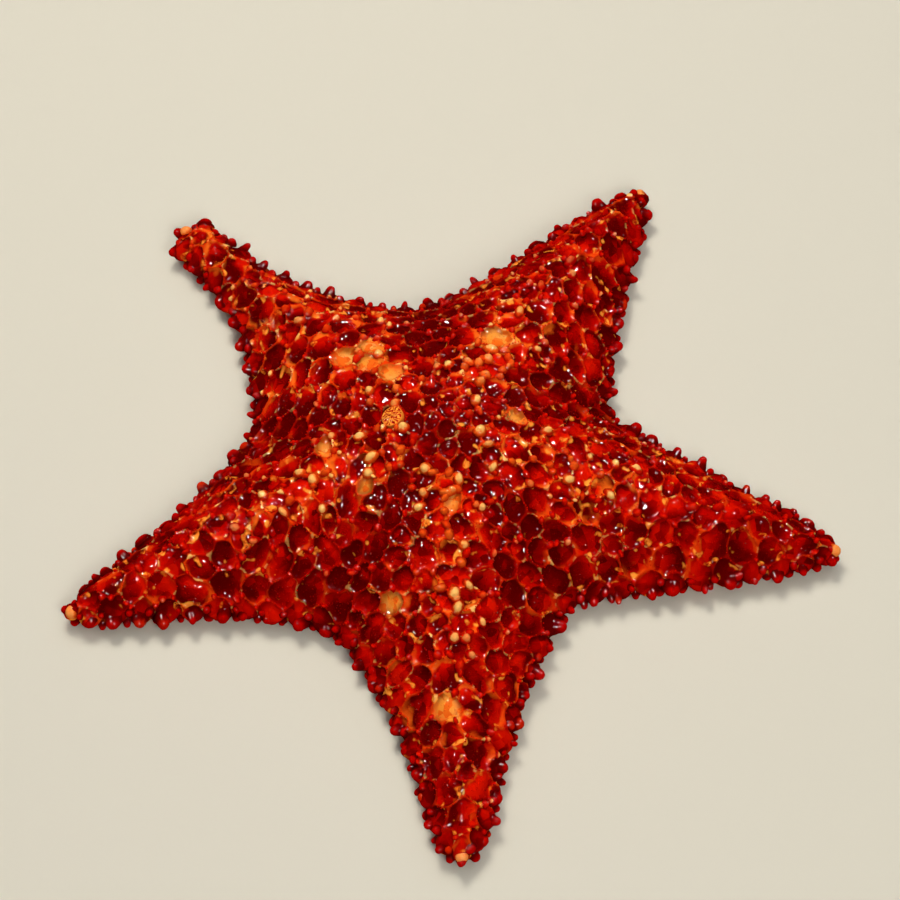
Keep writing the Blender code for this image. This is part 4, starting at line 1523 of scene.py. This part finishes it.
def eyespot_finish():
    """Deep red pigment under a clear, wet surface, darker between the cups."""
    dye, finish = new_finish("eyespot_pigment", {**WET, "Coat Weight": 1.0, "Roughness": 0.2})
    return finish(Base_Color=dye.attribute("cup").steep(0.1, 0.7).mixed(MAROON, EYE_RED))


def mulberry(low, high):
    """A ball that fills the box, its radius 1 - depth * (1 - |sin of the angle * sin of the height|)."""
    rise = (np.arange(EYE_ROWS) + 0.5) / EYE_ROWS * math.pi
    turn = turns(EYE_COLUMNS)
    cup = np.abs(np.sin(EYE_CUPS[0] * turn / 2)[None] * np.sin(EYE_CUPS[1] * rise)[:, None])
    radius = 1 - EYE_CUP_DEPTH * (1 - cup)
    x, y = radius * np.sin(rise)[:, None] * np.cos(turn), radius * np.sin(rise)[:, None] * np.sin(turn)
    ball = np.stack([x, y, -radius * np.cos(rise)[:, None]], -1).reshape(-1, 3)
    ball = np.concatenate([ball, [[0, 0, -EYE_POLE], [0, 0, EYE_POLE]]])
    points = (np.array(low) + high) / 2 + ball * (np.array(high) - low) / 2
    return points, capped_faces(EYE_ROWS, EYE_COLUMNS), np.append(cup.ravel(), [0, 0])


pigment = eyespot_finish()
for name in ARMS:
    points, faces, cup = mulberry(*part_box("eyespot_" + name))
    spot = add_piece("eyespot_cups_" + name, points, faces, pigment, {"cup": cup})
    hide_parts("eyespot_" + name)

# %% [markdown]
# ## The sieve plate
#
# Water enters the star's plumbing through one limy button beside the disc's centre. Its top is cut by
# fine grooves that run out from the middle, wander and fork, like a brain coral. A picture could show
# them, but they are a shape, so they are cut into the dome: a wave round the button with few crests
# near the middle gives way to one with many near the edge, and the crests fork where the two meet.

# %% The sieve plate's dome and grooves
MADREPORITE_SINK = 0.0022
MADREPORITE_RISE = 0.0009
SIEVE_GROOVE = 0.00032
SIEVE_ROWS, SIEVE_COLUMNS = 44, 200
FORKS_FROM, FORKS_TO = 0.36, 0.60  # the few crests fork into the many between these shares of the radius
SMOOTH_EDGE = (0.92, 0.99)


def sieve_crests(share, turn):
    """0 in a groove, 1 on a crest: cos of 7 turns inside, of 16 outside, bent by sines of the share."""
    few = np.cos(7 * turn + 2.4 * np.sin(6.5 * share + 2 * np.sin(2 * turn)))
    many = np.cos(16 * turn + 1.8 * np.sin(10 * share + 3 * np.sin(3 * turn)))
    outer = smooth_step(FORKS_FROM, FORKS_TO, share)
    crests = 0.5 + 0.5 * ((1 - outer) * few + outer * many)
    return crests + (1 - crests) * smooth_step(*SMOOTH_EDGE, share)


def sieve_surface():
    """A wall as deep as the seat, then a dome (R cos a, rise sin a) less its grooves, in the place's axes."""
    a = np.linspace(0, math.pi / 2, SIEVE_ROWS)[:-1]
    turn = turns(SIEVE_COLUMNS)
    crests = sieve_crests(np.cos(a)[:, None], turn)
    height = MADREPORITE_RISE * np.sin(a)[:, None] - SIEVE_GROOVE * (1 - crests) ** 1.5
    wall = np.array([-MADREPORITE_SINK, -0.5 * MADREPORITE_SINK])
    wall_ones = np.ones((len(wall), SIEVE_COLUMNS))
    radius = MADREPORITE_RADIUS * np.append(wall_ones[:, 0], np.cos(a))
    height = np.concatenate([wall[:, None] * wall_ones, height])
    crests = np.concatenate([wall_ones, crests])
    x, y = radius[:, None] * np.cos(turn), radius[:, None] * np.sin(turn)
    local = np.stack([x, y, height], -1).reshape(-1, 3)
    local = np.concatenate([local, [[0, 0, -MADREPORITE_SINK], [0, 0, MADREPORITE_RISE]]])
    base, axis = on_top(SIEVE_PLAN, 0)
    side, other = frames(axis, np.zeros(1))
    points = base + local[:, :1] * side + local[:, 1:2] * other + local[:, 2:] * axis
    return swept(points), capped_faces(len(radius), SIEVE_COLUMNS), np.append(crests.ravel(), [1, 1])


def sieve_finish():
    """Amber crests and red grooves, chalky and almost dry; the grooves' darker red is painted shade."""
    dye, finish = new_finish("sieve_plate_limestone", {**WET, "Coat Weight": 0.06})
    mottle = dye.noise(1200.0, 3.0)
    crest = (dye.attribute("crest") + 0.3 * mottle - 0.15).steep(0.25, 0.75)
    return finish(
        Base_Color=crest.mixed(BLOOD_RED, AMBER),
        Roughness=0.45 + 0.2 * mottle,
        Normal=dye.noise(5000.0, 2.0).bumped(0.3, 0.0001),
    )


points, faces, crests = sieve_surface()
sieve = add_piece("sieve_plate", points, faces, sieve_finish(), {"crest": crests})
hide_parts("madreporite")

# %% [markdown]
# ## The mouth
#
# The mouth is a round pit in the middle of the underside. Five jaws, each made of two half-jaws, point
# into it from between the arms, and between them the grooves open. Each jaw carries a fan of spines.
# The frame is one ring whose cross-section is a rounded box, wide at a jaw and narrow at a groove.

# %% The jaws
JAW_RING = (0.0008, 0.0082, 0.0055)  # lowest, widest and highest of the frame's solid
OPENING_RADIUS = 0.0060
OPENING_INSET = 0.0002
JAW_TIP_RADIUS = 0.0018
JAW_COLUMNS, JAW_ROWS = 240, 28
JAW_SQUARENESS = 0.6
JAW_SEAM_WIDTH, JAW_SEAM_DEPTH = 0.00035, 0.0005
CHEEK_WIDTH, CHEEK_RISE = 0.0035, 0.0009  # a jaw's underside rises to either side of its seam


def opening_radius(angles):
    """Radius of the mouth's opening in each direction: least at a jaw, most where a groove comes in."""
    corners = [(left % FULL_TURN, JAW_TIP_RADIUS) for _, left in valley_azimuths().values()]
    corners += [(math.radians(arm[0]) % FULL_TURN, OPENING_RADIUS) for arm in ARMS.values()]
    at, radius = np.array(sorted(corners)).T
    return np.interp(angles, at, radius, period=FULL_TURN)


JAW_AZIMUTHS = np.array([left for _, left in valley_azimuths().values()])


def jaw_surface():
    """middle + half-size * sign(cos t) |cos t|^squareness, alike in height, with a seam down each jaw."""
    low, outer, high = JAW_RING
    turn = turns(JAW_COLUMNS)
    t = turns(JAW_ROWS)[:, None]
    across, up = (np.sign(f(t)) * np.abs(f(t)) ** JAW_SQUARENESS for f in (np.cos, np.sin))
    inner = opening_radius(turn) + OPENING_INSET
    radius = (inner + outer) / 2 + (outer - inner) / 2 * across
    off_jaw = angle_between(turn[:, None], JAW_AZIMUTHS).min(1) * radius
    seam = bell(off_jaw, JAW_SEAM_WIDTH) * (up < 0)
    cheek = CHEEK_RISE * np.clip(off_jaw / CHEEK_WIDTH, 0, 1) ** 2 * (up < 0)
    height = (low + high) / 2 + (high - low) / 2 * up + JAW_SEAM_DEPTH * seam + cheek
    x, y = radius * np.cos(turn), radius * np.sin(turn)
    points = np.stack([x, y, height], -1).reshape(-1, 3)
    points[:, :2] += DISC_AT
    return points, tube_faces(JAW_ROWS, JAW_COLUMNS, closed=True), seam.ravel()


def jaw_finish():
    """Pale tan limestone with an orange seam."""
    dye, finish = new_finish("jaws_pale_limestone", {"Specular IOR Level": 0.3})
    mottle = dye.noise(900.0, 3.0)
    shade = (dye.attribute("seam") + 0.5 * mottle - 0.2).steep(0.1, 0.8)
    return finish(
        Base_Color=shade.mixed((0.80, 0.50, 0.24, 1), ORANGE),
        Roughness=0.45 + 0.2 * mottle,
        Normal=dye.cells(1500.0).bumped(0.3, 0.0002),
    )


points, faces, seam = jaw_surface()
jaws = add_piece("jaws", points, faces, jaw_finish(), {"seam": seam})
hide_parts("mouth_frame")

# %% [markdown]
# ## Spines, pegs and tube feet of the underside
#
# Along both edges of every groove stand rows of small spines: a slender one that leans over the groove
# and guards the feet, and outside it a blunt one that the star rests on. The flats between are covered
# with pegs. In the groove hang two rows of tube feet, each a soft column with a sucker. They are drawn
# in, as in a star at rest, so none of them reaches the floor.

# %% Spines beside the grooves
SLENDER = Turned([(1.0, -0.35), (0.95, 0.10), (0.80, 0.50), (0.62, 0.80), (0.35, 0.96)], tip=1.0, sides=7)
PEG = Turned([(1.0, -0.60), (1.05, 0.10), (1.00, 0.50), (0.72, 0.85), (0.36, 0.97)], tip=1.0, sides=7)
REST_LENGTH = LIFT - 0.0001  # from the flats almost down to the floor
RUST, SAND = (0.80, 0.24, 0.035, 1), (0.86, 0.42, 0.12, 1)
spine_finish = stud_finish("underside_spines", RUST, SAND, STRAW)


def beside_grooves(spacing, outside, start=0.0016):
    """(plan points this far outside the grooves' edges, unit vectors towards the groove's middle)."""
    places, inwards = [], []
    for arm, (azimuth, reach, _, _) in enumerate(ARMS.values()):
        along, left = arm_axes(azimuth)
        u = np.arange(MOUTH_RADIUS + start, reach - GROOVE_FROM_TIP, spacing)
        half_width, _ = groove_size(arm, u)
        for side in (-1, 1):
            places.append(u[:, None] * along + side * (half_width + outside)[:, None] * left)
            inwards.append(np.repeat(-side * left[None], len(u), 0))
    return np.concatenate(places), np.concatenate(inwards)


def hung(name, shape, roots, axes, wide, tall, chance, finish, slot="body_wall", rough=0.05):
    """Studs on the underside, each of a random tone."""
    studs = Studs(shape, roots, axes, wide, tall, chance, rough=rough, beneath=True)
    studs.tell(tone=chance.random(len(roots)), glow=np.zeros(len(roots)))
    studs.placed(name, finish, slot)


def slanting(inward, share, chance, most):
    """Axes that point down and this share inwards, tilted at random."""
    return leaning(unit(np.column_stack([share * inward, np.full(len(inward), -1.0)])), most, chance)


chance = np.random.default_rng(71)
plan, inward = beside_grooves(spacing=0.0011, outside=-0.0008)
hung("groove_spines", SLENDER, under_roots(plan), slanting(inward, 1.9, chance, 0.10),
     chance.uniform(0.00024, 0.00032, len(plan)), chance.uniform(0.0013, 0.0016, len(plan)),
     chance, spine_finish)
plan, inward = beside_grooves(spacing=0.0021, outside=0.0011)
hung("resting_spines", PEG, under_roots(plan), slanting(-inward, 0.15, chance, 0.08),
     chance.uniform(0.00055, 0.00068, len(plan)), np.full(len(plan), REST_LENGTH),
     chance, spine_finish)

# %% Pegs on the flats
PEGS_PER_PLATE = 6
PEG_RING = 0.0023  # radius of the ring of pegs round the middle one
PEGS_OFF_GROOVES = 0.0018
PEGS_OFF_MOUTH = 0.0010
peg_finish = stud_finish("underside_pegs", (0.76, 0.22, 0.04, 1), (0.84, 0.40, 0.12, 1), STRAW)
chance = np.random.default_rng(81)
turn = turns(PEGS_PER_PLATE) + chance.uniform(0, FULL_TURN, (len(actinal), 1))
ring = PEG_RING * compass(turn)
plan = np.concatenate([actinal, (actinal[:, None] + ring).reshape(-1, 2)])
arm, out, off = arm_places(plan)
clear = rim_distance(plan) > UNDERCUT
clear &= np.abs(off) > groove_size(arm, out)[0] + PEGS_OFF_GROOVES
plan = plan[clear & (np.hypot(*plan.T) > MOUTH_RADIUS + PEGS_OFF_MOUTH)]
straight_down = slanting(plan, 0, chance, 0.10)  # but for the random tilt
hung("pegs", PEG, under_roots(plan), straight_down,
     chance.uniform(0.00042, 0.00060, len(plan)), chance.uniform(0.0006, REST_LENGTH, len(plan)),
     chance, peg_finish)

# %% Tube feet
FOOT = Turned(
    [(0.70, -0.15), (0.55, 0.08), (0.46, 0.30), (0.44, 0.55), (0.50, 0.74), (0.62, 0.84), (1.00, 0.91),
     (1.02, 0.96), (0.72, 1.00), (0.30, 0.965)],
    tip=0.95,
    sides=9,
)
FOOT_CLEARANCE = 0.0006  # between the longest foot and the floor
FEET_ASIDE = 0.58  # a foot's root lies this share of the groove's half-width inside its edge
SHALLOWEST = 0.0030  # no feet where the groove is less deep
FOOT_AMBER, SUCKER_CREAM = (0.80, 0.34, 0.09, 1), (0.86, 0.60, 0.32, 1)


def foot_finish():
    """Pale amber, warmer at the foot's root, soft and wet."""
    dye, finish = new_finish("tube_feet_soft", {"Coat Weight": 0.6, "Coat Roughness": 0.08, "Roughness": 0.4})
    sucker = (dye.attribute("tip") + 0.3 * dye.noise(1500.0)).steep(0.6, 1.1)
    return finish(Base_Color=sucker.mixed(FOOT_AMBER, SUCKER_CREAM))


chance = np.random.default_rng(91)
plan, inward = beside_grooves(spacing=0.0019, outside=0.0, start=0.0)
arm, out, _ = arm_places(plan)
half_width, depth = groove_size(arm, out)
plan = plan + (FEET_ASIDE * half_width)[:, None] * inward
plan, inward = plan[depth > SHALLOWEST], inward[depth > SHALLOWEST]
room = under_height(plan) - FOOT_CLEARANCE
hung("tube_feet", FOOT, under_roots(plan), slanting(-inward, 0.12, chance, 0.12),
     chance.uniform(0.00055, 0.00072, len(plan)), room * chance.uniform(0.62, 0.95, len(plan)),
     chance, foot_finish(), rough=0.02)

# %% Spines of the jaws
SPINES_PER_JAW = 5
JAW_SPINES_AT = (0.0026, 0.0033)  # distance from the mouth's middle, of the fan's middle and its ends
JAW_SPINES_ASIDE = 0.0009
JAW_SPINES_HEIGHT = 0.0019
JAW_SPINE_RADIUS, JAW_SPINE_LENGTH = 0.00036, 0.0019
chance = np.random.default_rng(101)
fan = np.tile(np.linspace(-1, 1, SPINES_PER_JAW), len(JAW_AZIMUTHS))[:, None]
facing = np.repeat(JAW_AZIMUTHS, SPINES_PER_JAW)
towards = compass(facing)
across = np.stack([-towards[:, 1], towards[:, 0]], 1)
out = JAW_SPINES_AT[0] + (JAW_SPINES_AT[1] - JAW_SPINES_AT[0]) * np.abs(fan)
plan = towards * out + across * JAW_SPINES_ASIDE * fan
roots = np.column_stack([plan, np.full(len(plan), JAW_SPINES_HEIGHT)])
lean = np.column_stack([-towards + 0.7 * across * fan, np.full(len(plan), -0.35)])
hung("jaw_spines", SLENDER, roots, leaning(unit(lean), 0.08, chance), np.full(len(plan), JAW_SPINE_RADIUS),
     np.full(len(plan), JAW_SPINE_LENGTH), chance, spine_finish, "jaws")

# %% [markdown]
# ## Floor, light and camera
#
# A plain pale floor, lit softly: a key light from behind, a fill from the front, and a wide sun over
# both, so that the slopes that face the back are bright and those that face the camera are deep. Large
# lights mirrored in a wet skin would veil its colour. So these three light the skin and aren't mirrored
# in it, nor is the floor, and four small lights are only mirrored, as small white sparkles. The grey
# surround is there for the camera alone, which looks down at 65 degrees through a long lens.

# %% The floor and the lights
FLOOR_HALF_SIZE = 2.0
FLOOR_COLOUR = (0.535, 0.500, 0.404, 1)
LIGHTS_AIM = Vector((0, 0, 0.02))
WARM_WHITE, COOL_WHITE, GLINT_WHITE = (1.0, 0.97, 0.92), (0.99, 0.99, 1.0), (1.0, 0.98, 0.94)
GLINTS_FROM = ((0.10, 0.75, 1.00), (-0.75, 0.15, 0.85), (0.60, 0.55, 0.80), (0.10, -0.60, 0.90))
SURROUND_COLOUR = (0.24, 0.225, 0.185, 1)


def add_floor():
    """A square at the height of the solids' lowest point."""
    mesh = bpy.data.meshes.new("floor")
    signs = ((-1, -1), (1, -1), (1, 1), (-1, 1))
    corners = [(FLOOR_HALF_SIZE * x, FLOOR_HALF_SIZE * y, cad_box[0].z) for x, y in signs]
    mesh.from_pydata(corners, [], [(0, 1, 2, 3)])
    _, finish = new_finish("pale_floor", {"Base Color": FLOOR_COLOUR, "Roughness": 0.85})
    mesh.materials.append(finish())
    floor = bpy.data.objects.new("floor", mesh)
    floor.visible_glossy = False
    bpy.context.scene.collection.objects.link(floor)


def add_light(name, place, size, power, colour, glints=False, kind="AREA"):
    """A light that looks at the star, and either lights it or only glints in wet surfaces."""
    data = bpy.data.lights.new(name, kind)
    data.energy, data.color = power, colour
    setattr(data, "angle" if kind == "SUN" else "size", size)
    light = bpy.data.objects.new(name, data)
    light.location = place
    light.rotation_euler = (LIGHTS_AIM - Vector(place)).to_track_quat("-Z", "Y").to_euler()
    light.visible_glossy, light.visible_diffuse = glints, not glints
    bpy.context.scene.collection.objects.link(light)


def add_surround():
    """A plain colour behind everything, which lights nothing and is mirrored in nothing."""
    world = bpy.data.worlds.new("soft_surround")
    world.use_nodes = True
    world.node_tree.nodes["Background"].inputs["Color"].default_value = SURROUND_COLOUR
    world.cycles_visibility.diffuse = False
    world.cycles_visibility.glossy = False
    bpy.context.scene.world = world


add_floor()
add_light("key", (-0.20, 0.50, 1.00), 0.35, 8.7, WARM_WHITE)
add_light("fill", (0.35, -0.75, 1.00), 0.5, 7.4, COOL_WHITE)
add_light("soft_top", (0.0, 0.2, 1.5), math.radians(60), 1.00, COOL_WHITE, kind="SUN")
for number, place in enumerate(GLINTS_FROM):
    add_light(f"glint_{number}", place, 0.17, 17.0, GLINT_WHITE, glints=True)
add_surround()
bpy.context.scene.view_settings.view_transform = "Standard"
print("lit by 3 lights, and", len(GLINTS_FROM), "that glint")

# %% The camera
CAMERA_ELEVATION = math.radians(65)
CAMERA_DISTANCE = 1.0
CAMERA_LENS = 124.8
AIM = Vector((DISC_AT[0] + 0.0032, DISC_AT[1] + 0.0128, 0.0))


def add_camera():
    """Looks at the aim from the front, raised by the elevation."""
    data = bpy.data.cameras.new("camera")
    data.lens = CAMERA_LENS
    data.clip_start = 0.01
    camera = bpy.data.objects.new("camera", data)
    back = Vector((0, -math.cos(CAMERA_ELEVATION), math.sin(CAMERA_ELEVATION)))
    camera.location = AIM + back * CAMERA_DISTANCE
    camera.rotation_euler = (-back).to_track_quat("-Z", "Y").to_euler()
    bpy.context.scene.collection.objects.link(camera)
    bpy.context.scene.camera = camera


add_camera()
print("the camera looks down at", round(math.degrees(CAMERA_ELEVATION)), "degrees")
